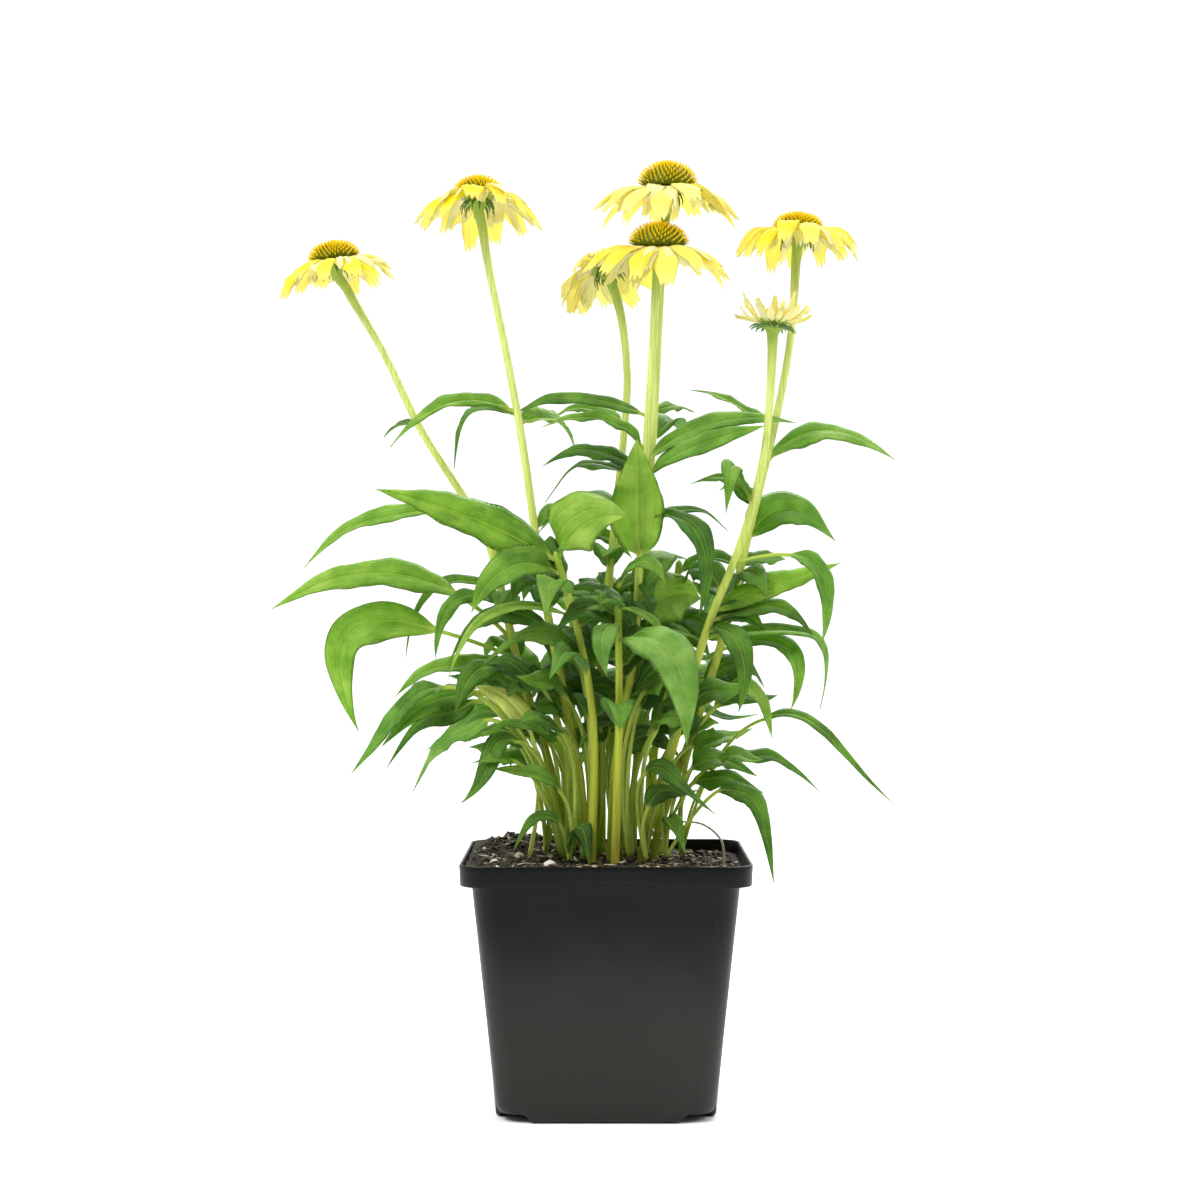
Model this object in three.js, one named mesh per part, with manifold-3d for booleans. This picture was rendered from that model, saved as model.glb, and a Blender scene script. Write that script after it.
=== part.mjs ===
// A yellow-flowered coneflower growing in a square nursery pot. Millimetres, +Z up, the front is -Y.
// The origin is the middle of the pot's underside, so the pot stands on z = 0.
import * as THREE from "three";
import { mergeVertices } from "three/addons/utils/BufferGeometryUtils.js";
import Module from "manifold-3d";

const wasm = await Module();
wasm.setup();

// ---- Driving dimensions ----
const GAP = 0.3; // left between pieces that touch

const POT_HEIGHT = 151;
const RIM_HALF = 85; // half the pot's width over its collar
const WALL_TOP_HALF = 78; // half its width just under the collar
const WALL_FOOT_HALF = 64.6; // half its width at the bottom
const COLLAR_MIDDLE = 10.5; // depth of the collar in the middle of each side
const COLLAR_CORNER = 12.5; // and at the corners
const CORNER_LIFT = 4.8; // the pot stands on four aprons, and its corners are this far off the ground
const FLOOR_THICK = 1.8;
const PAD_HALF = 38; // the flat pad in the middle of the underside
const CORNER_STEPS = 3; // facets in each round corner

const SOIL_BED = 7; // underside of the root ball
const SOIL_TOP = 145.5; // its surface in the middle of the pot
const SOIL_HALF = 82.3;
const CHIP_COUNT = 7; // chips of bark on the soil
const CHIPS_IN = 24; // how far out they start and end
const CHIPS_OUT = 72;
const SPIRAL_TURN = 137.5; // degrees from each chip or leaf to the next where they stand in a spiral

const STEM_FOOT = 114; // stems start at this height, inside the soil
const STEM_SIDES = 6;
const FOOT_RADIUS = 3; // a stem at the soil
const SLIM_RADIUS = 2.4; // and four fifths of the way up
const CROWN = 149; // basal leaves leave their crowns at this height
const CROWN_RADIUS = 4.6;
const OLD_CROWN_RADIUS = 2.6; // the crown that bears the yellowed leaf
const WIRE_RADIUS = 0.8; // the dead stalk

const LEAF_THICK = 1.3;
const STALK_HALF = 1.2; // half the width of a leaf's stalk
const FOLD_ROOT = 20; // degrees by which a leaf is folded up along its midrib, near its root
const FOLD_TIP = 8; // and near its tip
const LEAF_ROOM = 0.6; // left round a leaf

const BRACT_COUNT = 8;
const BRACT_THICK = 1.2;
const RAY_THICK = 1.1;
const RAY_FOLD = 6; // degrees by which a petal is folded up
const RAY_ROOM = 0.4; // left round a petal
const NOTCH = 1.6; // a petal's tip is cut back this far between its teeth
const CONE_SIDES = 18;
const CONE_LEVELS = 4;
const SPINE = 2.4; // how far a spine stands out of its cone

const v3 = (x, y, z) => new THREE.Vector3(x, y, z);
const rad = THREE.MathUtils.degToRad;
const UP = v3(0, 0, 1);

// ---- Closed solids ----

// A closed solid from points and triangles, turned so that it faces out.
function solid(points, faces) {
  const side = v3(0, 0, 0);
  const volume = faces.reduce(
    (sum, [a, b, c]) => sum + points[a].dot(side.crossVectors(points[b], points[c])),
    0,
  );
  const facing = volume < 0 ? faces.map((face) => [...face].reverse()) : faces;
  const shape = new THREE.BufferGeometry().setFromPoints(points).setIndex(facing.flat());
  const merged = mergeVertices(shape, 1e-5);
  return new wasm.Manifold(
    new wasm.Mesh({
      numProp: 3,
      vertProperties: merged.attributes.position.array,
      triVerts: new Uint32Array(merged.index.array),
    }),
  );
}

// A closed solid through rings of points with equal counts. A ring of one point is a tip, and a last or
// first ring of more is capped. Diagonals run from even to odd points, so both faces of a thin blade are
// split alike.
function loft(rings) {
  const faces = [];
  let start = 0;
  for (let i = 0; i + 1 < rings.length; i++) {
    const here = rings[i].length;
    const there = rings[i + 1].length;
    const next = start + here;
    const count = Math.max(here, there);
    for (let j = 0; j < count; j++) {
      const k = (j + 1) % count;
      if (there === 1) faces.push([start + j, start + k, next]);
      else if (here === 1) faces.push([start, next + k, next + j]);
      else if (j % 2) faces.push([start + j, start + k, next + j], [start + k, next + k, next + j]);
      else faces.push([start + j, start + k, next + k], [start + j, next + k, next + j]);
    }
    start = next;
  }
  const cap = (ring, first, reversed) => {
    for (let j = 2; j < ring.length; j++) {
      const face = [first + 1, first + j, first + ((j + 1) % ring.length)];
      faces.push(reversed ? face.reverse() : face);
    }
  };
  cap(rings[0], 0, true);
  cap(rings.at(-1), start, false);
  return solid(rings.flat(), faces);
}

// A ring of points round a centre, at a radius, square to a direction.
function hoop(centre, radius, direction, sides) {
  const across = v3(1, 0, 0).addScaledVector(direction, -direction.x).normalize();
  const along = v3(0, 0, 0).crossVectors(direction, across);
  return Array.from({ length: sides }, (_, k) => {
    const turn = (2 * Math.PI * k) / sides;
    return centre
      .clone()
      .addScaledVector(across, radius * Math.cos(turn))
      .addScaledVector(along, radius * Math.sin(turn));
  });
}

// A spread of values between -1 and 1 that never repeats, for what varies from leaf to leaf.
const vary = (index) => 2 * ((index * 0.618034) % 1) - 1;

// ---- Blades: leaves, petals and bracts ----

// Ways a blade may bend aside to clear its neighbours, in the order in which they are tried: turned about
// its root, raised or lowered at its tip, and at last shorter.
const BENDS = [{ turn: 0, lift: 0, reach: 1 }];
for (const reach of [1, 0.85, 0.7, 0.55]) {
  for (let step = 1; step <= 5; step++) {
    for (const [turn, lift] of [[1, 0], [-1, 0], [0, 1], [0, -1], [1, 1], [-1, 1], [1, -1], [-1, -1]]) {
      BENDS.push({ turn: 5 * step * turn, lift: 0.07 * step * lift, reach });
    }
  }
}

// Half the width of a leaf at a share of its blade: it swells to its widest at a third, then tapers to a
// long point.
const leafWidth = (share) => (share / 0.35) ** 0.6 * ((1 - share) / 0.65) ** 1.1;

// The midrib of a blade: a parabola from root to tip that bows by arch, furthest out past the middle where
// it leans.
function midrib(root, blade, bend) {
  const turn = rad(blade.turn + bend.turn);
  const out = v3(Math.cos(turn), Math.sin(turn), 0);
  const reach = blade.reach * bend.reach;
  const lift = blade.lift * bend.reach + bend.lift * Math.hypot(blade.reach, blade.lift);
  const chord = out.clone().multiplyScalar(reach).addScaledVector(UP, lift);
  const over = out.clone().multiplyScalar(-lift).addScaledVector(UP, reach).normalize();
  const control = root
    .clone()
    .addScaledVector(chord, 0.5 + (blade.lean ?? 0))
    .addScaledVector(over, 2 * blade.arch * bend.reach);
  const tip = root.clone().add(chord);
  const flat = v3(-out.y, out.x, 0);
  return { curve: new THREE.QuadraticBezierCurve3(root, control, tip), flat };
}

// One cross-section of a blade: left edge, upper side, right edge, lower side. The edges are folded up from
// the midrib, and the whole section is rolled about it.
function section(rib, share, half, thick, fold, roll) {
  const centre = rib.curve.getPoint(share);
  const tangent = rib.curve.getTangent(share);
  const flat = rib.flat.clone().applyAxisAngle(tangent, rad(roll));
  const up = v3(0, 0, 0).crossVectors(tangent, flat);
  const wide = half * Math.cos(rad(fold));
  const raised = half * Math.sin(rad(fold));
  return [
    centre.clone().addScaledVector(flat, -wide).addScaledVector(up, raised),
    centre.clone().addScaledVector(up, thick / 2),
    centre.clone().addScaledVector(flat, wide).addScaledVector(up, raised),
    centre.clone().addScaledVector(up, -thick / 2),
  ];
}

// A leaf: a stalk for a share of its length, then a lance-shaped blade. More than 0 in spare makes a fatter
// copy, which keeps that much room around the leaf, and from leaves out the part near its root.
const BLADE_STOPS = [0.15, 0.4, 0.75];
const STALKED_STOPS = [0.35, 0.72]; // a blade on a stalk starts at the stalk's own ring
const SHORT_STALK = 0.2; // share of its length from which a leaf's stalk has a ring of its own
const LONG_STALK = 0.45; // and from which it has one more at its middle, to follow the bow
function leaf(root, blade, bend, spare = 0, from = 0) {
  const rib = midrib(root, blade, bend);
  const stalk = blade.stalk ?? 0.04;
  const stops = [[0, STALK_HALF]];
  if (stalk >= LONG_STALK) stops.push([stalk / 2, STALK_HALF]);
  if (stalk >= SHORT_STALK) stops.push([stalk, STALK_HALF]);
  for (const stop of stalk >= SHORT_STALK ? STALKED_STOPS : BLADE_STOPS) {
    stops.push([stalk + (1 - stalk) * stop, Math.max(STALK_HALF, (blade.width / 2) * leafWidth(stop))]);
  }
  const rings = [];
  for (const [share, half] of stops) {
    if (share < from) continue;
    const fold = THREE.MathUtils.lerp(FOLD_ROOT, FOLD_TIP, share);
    rings.push(section(rib, share, half + spare, LEAF_THICK + 2 * spare, fold, blade.roll ?? 0));
  }
  const tip = rib.curve.getPoint(1).addScaledVector(rib.curve.getTangent(1), 1.5 * spare);
  return loft([...rings, [tip]]);
}

// ---- Pot ----

// The stops along each side of a square ring, as shares of its half width: the collar steps at 0.3 of the
// rim, and the aprons ramp up between 0.67 and 0.78.
const POT_STOPS = [-0.78, -0.67, -0.32, -0.28, 0.28, 0.32, 0.67, 0.78];
const COLLAR_STEP = 0.3; // the shares between which these steps and ramps lie
const APRON_END = 0.7;
const SIDE_DRAIN = [52, 4]; // how far out a drain hole lies, and its radius
const CORNER_DRAIN = [62, 5];
const DRAIN_SIDES = 6;

// A square ring with round corners. Its height is a number, or worked out from how far along its side a
// point is.
function squareRing(half, height, stops) {
  const round = 0.2 * half;
  const quarter = stops.map((stop) => [half, stop * half, Math.abs(stop)]);
  for (let k = 0; k <= CORNER_STEPS; k++) {
    const turn = (k * Math.PI) / (2 * CORNER_STEPS);
    quarter.push([half - round * (1 - Math.cos(turn)), half - round * (1 - Math.sin(turn)), 1]);
  }
  const ring = [];
  for (let side = 0; side < 4; side++) {
    const c = Math.round(Math.cos((side * Math.PI) / 2));
    const s = Math.round(Math.sin((side * Math.PI) / 2));
    for (const [x, y, along] of quarter) {
      ring.push(v3(c * x - s * y, s * x + c * y, height(along)));
    }
  }
  return ring;
}

function makePot() {
  const foot = (along) => (along < APRON_END ? 0 : CORNER_LIFT);
  const apron = (along) => (along < APRON_END ? 1 : 2 * CORNER_LIFT);
  const ledge = (along) => POT_HEIGHT - (along < COLLAR_STEP ? COLLAR_MIDDLE : COLLAR_CORNER);
  const ring = (half, height) => squareRing(half, height, POT_STOPS);
  const shell = loft([
    ring(PAD_HALF, () => 0),
    ring(WALL_FOOT_HALF - 2.3, foot),
    ring(WALL_FOOT_HALF, apron),
    ring(WALL_TOP_HALF, ledge),
    ring(RIM_HALF - 0.5, ledge),
    ring(RIM_HALF, () => POT_HEIGHT),
    ring(RIM_HALF - 1.5, () => POT_HEIGHT),
    ring(RIM_HALF - 2, (along) => ledge(along) + 1.6),
    ring(WALL_TOP_HALF - 1.2, (along) => ledge(along) + 1.4),
    ring(WALL_FOOT_HALF - 3.8, (along) => foot(along) + FLOOR_THICK),
    ring(PAD_HALF, () => FLOOR_THICK),
  ]);
  // Drain holes go through the floor under each side and, larger and further out, under each corner.
  const drains = Array.from({ length: 8 }, (_, k) => {
    const [out, radius] = k % 2 ? CORNER_DRAIN : SIDE_DRAIN;
    const turn = (k * Math.PI) / 4;
    const low = v3(out * Math.cos(turn), out * Math.sin(turn), -1);
    const high = low.clone().setZ(SOIL_BED + 2);
    return loft([hoop(low, radius, UP, DRAIN_SIDES), hoop(high, radius, UP, DRAIN_SIDES)]);
  });
  return drains.reduce((pot, drain) => pot.subtract(drain), shell);
}

// ---- Soil ----

// The soil's surface: it falls towards the right, is heaped at the back left, and is rough all over.
const SOIL_FALL = 0.035;
const SOIL_LEAST = POT_HEIGHT - 7.8;
const HEAP = { x: -45, y: 58, high: 7, wide: 26 };
function soilHeight(x, y) {
  const far = (x - HEAP.x) ** 2 + (y - HEAP.y) ** 2;
  const heap = HEAP.high * Math.exp(-far / (2 * HEAP.wide ** 2));
  const rough = 1.1 * Math.sin(0.21 * x + 1) * Math.cos(0.17 * y) + 0.7 * Math.sin(0.43 * x - 0.31 * y);
  return Math.max(SOIL_LEAST, SOIL_TOP - SOIL_FALL * x + heap + rough);
}

function makeSoil(stems) {
  const stops = [0];
  const ring = (half, height) => squareRing(half, () => height, stops);
  const relief = (half) => {
    return ring(half, 0).map((point) => point.setZ(soilHeight(point.x, point.y)));
  };
  const ledge = POT_HEIGHT - COLLAR_MIDDLE + 2;
  const ball = loft([
    [v3(0, 0, SOIL_BED)],
    ring(WALL_FOOT_HALF - 4.4, SOIL_BED),
    ring(WALL_TOP_HALF - 2, ledge),
    ring(SOIL_HALF - 0.1, ledge),
    relief(SOIL_HALF),
    relief(60),
    relief(32),
    [v3(0, 0, soilHeight(0, 0))],
  ]);
  // Chips of bark lie on the soil in a spiral, half sunk in it.
  const chips = Array.from({ length: CHIP_COUNT }, (_, k) => {
    const out = CHIPS_IN + (CHIPS_OUT - CHIPS_IN) * Math.sqrt((k + 0.5) / CHIP_COUNT);
    const turn = rad(SPIRAL_TURN * k + 20);
    const x = out * Math.cos(turn);
    const y = out * Math.sin(turn);
    const long = 5.5 + 2.5 * vary(k + 3);
    const wide = 2.4 + 0.8 * vary(2 * k + 1);
    const lie = v3(Math.cos(2.4 * k), Math.sin(2.4 * k), 0.25 * vary(3 * k + 2)).normalize();
    const middle = v3(x, y, soilHeight(x, y) + 0.8);
    return loft([
      [middle.clone().addScaledVector(lie, -long)],
      hoop(middle.clone().addScaledVector(lie, -0.4 * long), wide, lie, 4),
      hoop(middle.clone().addScaledVector(lie, 0.5 * long), 0.8 * wide, lie, 4),
      [middle.clone().addScaledVector(lie, long)],
    ]);
  });
  const heaped = wasm.Manifold.union([ball, ...chips]);
  const pierced = stems.reduce((soil, stem) => soil.subtract(stem), heaped);
  return pierced.decompose().sort((a, b) => b.volume() - a.volume())[0];
}

// ---- Stems ----

// A stem's middle at a height, a smooth curve through its knots [x, y, z], which run from the top down.
function stemPoint(knots, height) {
  const up = [...knots].reverse();
  const slope = (i, axis) => {
    const low = up[Math.max(i - 1, 0)];
    const high = up[Math.min(i + 1, up.length - 1)];
    return (high[axis] - low[axis]) / (high[2] - low[2]);
  };
  let i = 0;
  while (i < up.length - 2 && height > up[i + 1][2]) i++;
  const rise = up[i + 1][2] - up[i][2];
  const s = (height - up[i][2]) / rise;
  const at = (axis) =>
    (2 * s ** 3 - 3 * s ** 2 + 1) * up[i][axis] +
    (s ** 3 - 2 * s ** 2 + s) * rise * slope(i, axis) +
    (3 * s ** 2 - 2 * s ** 3) * up[i + 1][axis] +
    (s ** 3 - s ** 2) * rise * slope(i + 1, axis);
  return v3(at(0), at(1), height);
}

// The way a stem points at a height.
function stemDirection(knots, height) {
  const above = stemPoint(knots, height + 1);
  return above.sub(stemPoint(knots, height - 1)).normalize();
}

// A stem's plain shaft up to a height: thickest at the soil, thinnest four fifths of the way up.
const SHAFT_STEP = 56; // height between the rings of a shaft
function shaft(knots, top, spare = 0) {
  const rings = [];
  const count = Math.round((top - STEM_FOOT) / SHAFT_STEP);
  for (let i = 0; i <= count; i++) {
    const share = i / count;
    const height = STEM_FOOT + (top - STEM_FOOT) * share;
    const radius = FOOT_RADIUS + (SLIM_RADIUS - FOOT_RADIUS) * Math.min(1, share / 0.8) + spare;
    rings.push(hoop(stemPoint(knots, height), radius, stemDirection(knots, height), STEM_SIDES));
  }
  return rings;
}

// The hole that a stem stands in: a wider copy of its shaft, a little deeper.
function stemHole(knots, top) {
  const rings = shaft(knots, top, GAP + 0.05);
  return loft([rings[0].map((point) => point.addScaledVector(UP, -GAP)), ...rings.slice(1)]);
}

// The frame of a flower head: its axis leans from straight up by degrees to the right and to the back.
function headFrame(stem) {
  const top = v3(...stem.knots[0]);
  const axis = v3(Math.tan(rad(stem.head.leanRight)), Math.tan(rad(stem.head.leanBack)), 1).normalize();
  const right = v3(1, 0, 0).addScaledVector(axis, -axis.x).normalize();
  const back = v3(0, 0, 0).crossVectors(axis, right);
  return new THREE.Matrix4().makeBasis(right, back, axis).setPosition(top);
}

const inFrame = (frame, rings) => rings.map((ring) => ring.map((point) => point.clone().applyMatrix4(frame)));

// Heights along a head's axis: the receptacle ends at 0, then the disc that bears the petals, then the cone.
const DISC_LOW = GAP;
const DISC_HIGH = 2;
const CONE_LOW = DISC_HIGH + GAP;
const DISC_RADIUS = 9;

// A flower stem swells into its receptacle, under a star of green bracts whose points reach out and down.
const CUP = [[-8, 3.1], [-4, 4.6], [0, 8]]; // heights and radii of the swelling under the head
const WHORL_HIGH = -2.4; // top of the star in its middle
const WHORL_ROOT = 4.6; // radius of the notches between its points
const NECK = 14;
const neckHeight = (stem) => stem.knots[0][2] - NECK;
function makeFlowerStem(stem) {
  const frame = headFrame(stem);
  const cup = inFrame(frame, CUP.map(([height, radius]) => hoop(v3(0, 0, height), radius, UP, STEM_SIDES)));
  const stalk = loft([...shaft(stem.knots, neckHeight(stem)), ...cup]);
  const [out, down] = stem.head.bracts ?? OPEN_BRACTS;
  const star = (height) =>
    hoop(v3(0, 0, height), 1, UP, 2 * BRACT_COUNT).map((point, k) => {
      const tip = k % 2 === 1;
      const reach = tip ? out + 0.8 * vary(k) : WHORL_ROOT;
      return v3(point.x * reach, point.y * reach, height - (tip ? down - 2 : 0.6));
    });
  const low = WHORL_HIGH - BRACT_THICK;
  const whorl = loft(inFrame(frame, [[v3(0, 0, low)], star(low), star(WHORL_HIGH), [v3(0, 0, WHORL_HIGH)]]));
  return { body: stalk.add(whorl), frame };
}

// ---- Plant data ----
// A stem's knots are [x, y, z], from the top down. A leaf is [height on its stem, turn in degrees about the
// stem (0 is right, 90 is back), reach, lift, arch, width]. It may add how far its bow leans to the tip, the
// share of its length that is stalk, and a roll in degrees. Blades that face sideways roll their front edges
// down, those high on a stem less. A head has its lean, the cone's radius and height, the count, reach, drop,
// bow and width of its petals, and how far its bracts stand out and hang down.
const LEAF_ROLL = 40;
const HIGH_LEAF = 370;
const HIGH_ROLL = 31;
const asLeaf = ([z, turn, reach, lift, arch, width, lean, stalk, roll]) => {
  const tilt = (z > HIGH_LEAF ? HIGH_ROLL : LEAF_ROLL) * Math.cos(rad(turn));
  return { z, turn, reach, lift, arch, width, lean, stalk, roll: tilt + (roll ?? 0) };
};

const OPEN_BRACTS = [10, 8.5];
const FLOWER_STEMS = [
  {
    knots: [
      [31.8, -5, 515], [28.2, -5.4, 456], [24.7, -5.9, 401], [20.6, -6.5, 328], [15.5, -7, 262],
      [6, -7.5, 207], [3, -8, 153], [3, -8, 112],
    ],
    head: {
      leanRight: 1, leanBack: -4, cone: 18.5, dome: 14,
      rays: 13, reach: 45, drop: 19, bow: 6, width: 12,
    },
    leaves: [
      [328, -100, 14, 72, -3, 36], [298, 12, 50, 30, 3, 34, 0, 0, 25], [414, 172, 84, 6, 9, 13],
      [386.5, 8, 93, 26, 12, 17], [377, -8, 73, 31.5, 5, 18], [393, 195, 64, 15, 12, 17],
      [378, 165, 64, 8, 12, 16], [374, 150, 70, -6, 16, 16], [355, -35, 40, -59, 25, 18],
      [352, 15, 54, -3, 8, 10], [288, -75, 26, 12, 12, 22], [262, -150, 44, 6, 14, 18],
      [306, 75, 50, 6, 14, 26], [270, 22, 46, 8, 12, 22],
    ],
  },
  {
    knots: [
      [-165.5, 15, 509.5], [-157.4, 15, 492], [-136, 14.6, 455], [-112.9, 14.2, 407.5], [-87.8, 13.9, 368],
      [-72.7, 13.7, 342.7], [-52.3, 13, 260], [-37, 12.6, 212], [-22, 12, 150], [-22, 12, 112],
    ],
    head: {
      leanRight: -9, leanBack: -2, cone: 16, dome: 11,
      rays: 12, reach: 37, drop: 15, bow: 5, width: 11,
    },
    leaves: [
      [279, 185, 146, 21, 30, 27, 0, 0.25], [268, 183, 96, -43, 56, 30, 0.5, 0.2, -22],
      [361, 175, 103, -36, 12, 17], [310, 170, 60, -37, 22, 12], [300, 200, 44, -30, 20, 11],
      [265, 190, 75, -18, 8, 18], [410, 150, 26, -6, 4, 13], [330, 60, 60, 10, 10, 20],
      [240, 150, 60, -6, 18, 20], [248, -140, 54, -10, 20, 16, 0.1, 0.2],
    ],
  },
  {
    knots: [
      [-77, -2, 546], [-71.8, -2, 510], [-59.7, -2, 450], [-50, -2, 395.5], [-36.7, -2, 303.6],
      [-24, -2, 240], [-15, -2, 189], [-13, -2, 150], [-13, -2, 112],
    ],
    head: {
      leanRight: 0, leanBack: 11, cone: 15, dome: 11,
      rays: 13, reach: 38, drop: 18, bow: 6, width: 11,
    },
    leaves: [
      [417, 190, 77, -20, 15, 17], [415, 150, 46, -28, 20, 16], [410, 40, 45, -15, 12, 24],
      [330, 110, 56, -4, 14, 20], [262, 95, 60, 4, 18, 22], [300, -120, 40, 4, 14, 20],
      [285, 168, 62, -10, 18, 20], [346, 20, 40, 10, 8, 18],
    ],
  },
  {
    knots: [
      [38, 25, 556], [33.4, 23, 488], [29.6, 21, 414], [24, 18.4, 340], [14.8, 15, 242.5],
      [8, 12, 151], [8, 12, 112],
    ],
    head: {
      leanRight: 1, leanBack: -4, cone: 18.5, dome: 15,
      rays: 13, reach: 47, drop: 19, bow: 6, width: 12,
    },
    leaves: [
      [418, 40, 34, 4, 3, 13], [400, 62, 60, 5, 12, 20], [350, 108, 70, -5, 18, 23],
      [292, 48, 72, 10, 18, 28], [258, 82, 78, 0, 24, 30], [280, 150, 60, 0, 18, 26],
    ],
  },
  {
    knots: [
      [0, 38, 509], [8.6, 37, 484], [13.2, 35.4, 446], [12, 34, 415], [5.8, 31, 353],
      [-3.5, 27, 254], [-6, 22, 150], [-6, 22, 112],
    ],
    head: {
      leanRight: -22, leanBack: 22, cone: 12, dome: 8,
      rays: 13, reach: 37, drop: 13, bow: 5, width: 11,
    },
    leaves: [
      [410, 170, 46, 6, 9, 17], [350, 125, 75, 0, 18, 25], [300, 78, 80, -12, 20, 28],
      [262, 160, 84, 4, 20, 28],
      [322, -100, 26, 18, 8, 24],
    ],
  },
  {
    knots: [
      [116.8, 10, 527], [112.3, 10.5, 461], [102, 11, 406], [89.8, 11.7, 355.4], [74.6, 12.4, 291.4],
      [63.6, 12.8, 255], [51.4, 13.2, 218], [38, 13.6, 181.5], [30, 14, 151], [30, 14, 112],
    ],
    head: {
      leanRight: 1, leanBack: 2, cone: 15.5, dome: 10,
      rays: 13, reach: 37, drop: 17, bow: 8, width: 11,
    },
    leaves: [
      [387, 0, 79, 2, 19, 19, -0.12], [408, 165, 52, 26, 3, 13], [339, -10, 56, 18, 20, 26, -0.1],
      [324, 20, 30, 5, 3, 15], [273, -25, 46, -35, 28, 13, 0.3], [279, 15, 53, -19, 14, 12],
      [360, 120, 40, 14, 6, 15], [300, 105, 60, -10, 18, 22], [236, -28, 48, -12, 22, 14, 0.1, 0.2],
    ],
  },
  {
    knots: [
      [100.7, -10, 470], [98.5, -9.2, 421.5], [94.4, -8.6, 387], [82.6, -7.7, 341.5], [62.8, -6.8, 291],
      [49.5, -6, 249], [39.9, -5.3, 213], [29.7, -4.7, 183], [22, -4, 152], [22, -4, 112],
    ],
    head: {
      leanRight: 4, leanBack: 0, cone: 8, dome: 6, rays: 11, reach: 20, drop: -13, bow: -1, width: 7,
      bracts: [14.5, 3],
    },
    leaves: [
      [361, -135, 24, -6, 26, 15], [296, 5, 78, 30, 2, 19], [361, 150, 42, 14, 10, 12],
      [325.6, -15, 54, -43, 30, 16, 0.1, 0.3], [290, -5, 62, -8.5, 14.5, 16, 0.15],
      [285, -60, 35, -45, 22, 17], [280, 0, 70, -41, 35, 15, 0.3], [244, 170, 46, 14, 12, 18],
    ],
  },
];

const LEAFY_SHOOTS = [
  {
    knots: [[7.1, -34, 301], [7.8, -31.8, 244], [6.6, -29.5, 185], [5.4, -28.3, 152], [5, -28, 112]],
    leaves: [
      [279, -50, 60, -58.5, 28, 33, -0.1], [299, -10, 22, -36, 14, 8], [298, -125, 18, 7, 4, 19],
      [294, 170, 26, 4, 5, 16], [262, 40, 48, 12, 12, 20], [289, -115, 16, -30, 16, 15],
    ],
  },
  {
    knots: [
      [-29, -30, 328.5], [-17.7, -28.7, 289], [-10.6, -27.6, 256], [-7.1, -26.5, 220], [-8.3, -24.2, 150],
      [-8.3, -24.2, 112],
    ],
    leaves: [
      [326, 183, 108, 44, 5, 28], [327, -25, 46, 26, 10, 36, 0, 0, -20],
      [318, 205, 58, -21, 16, 22], [293, 200, 78, -34, 23, 9], [322, 150, 40, 14, 8, 22],
      [306, -110, 30, -12, 16, 24], [262, 175, 62, 4, 20, 17],
    ],
  },
];

// Shoots at the back, whose leaves stand in a spiral from a height up and shorten to the top.
const SPIRAL_LOW = 232;
function spiralShoot(knots, count, start) {
  const step = (knots[0][2] - 5 - SPIRAL_LOW) / (count - 1);
  const leaves = Array.from({ length: count }, (_, k) => {
    return [SPIRAL_LOW + step * k, start + SPIRAL_TURN * k, 66 - 4 * k, 12 - 3 * k, 16 - k, 30 - 2 * k];
  });
  return { knots, leaves };
}
LEAFY_SHOOTS.push(
  spiralShoot([[-30, 64, 340], [-18, 60, 270], [-6, 52, 190], [-4, 47, 150], [-4, 47, 112]], 6, 35),
  spiralShoot([[46, 62, 325], [38, 58, 260], [28, 50, 190], [24, 46, 150], [24, 46, 112]], 6, 20),
);

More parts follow.
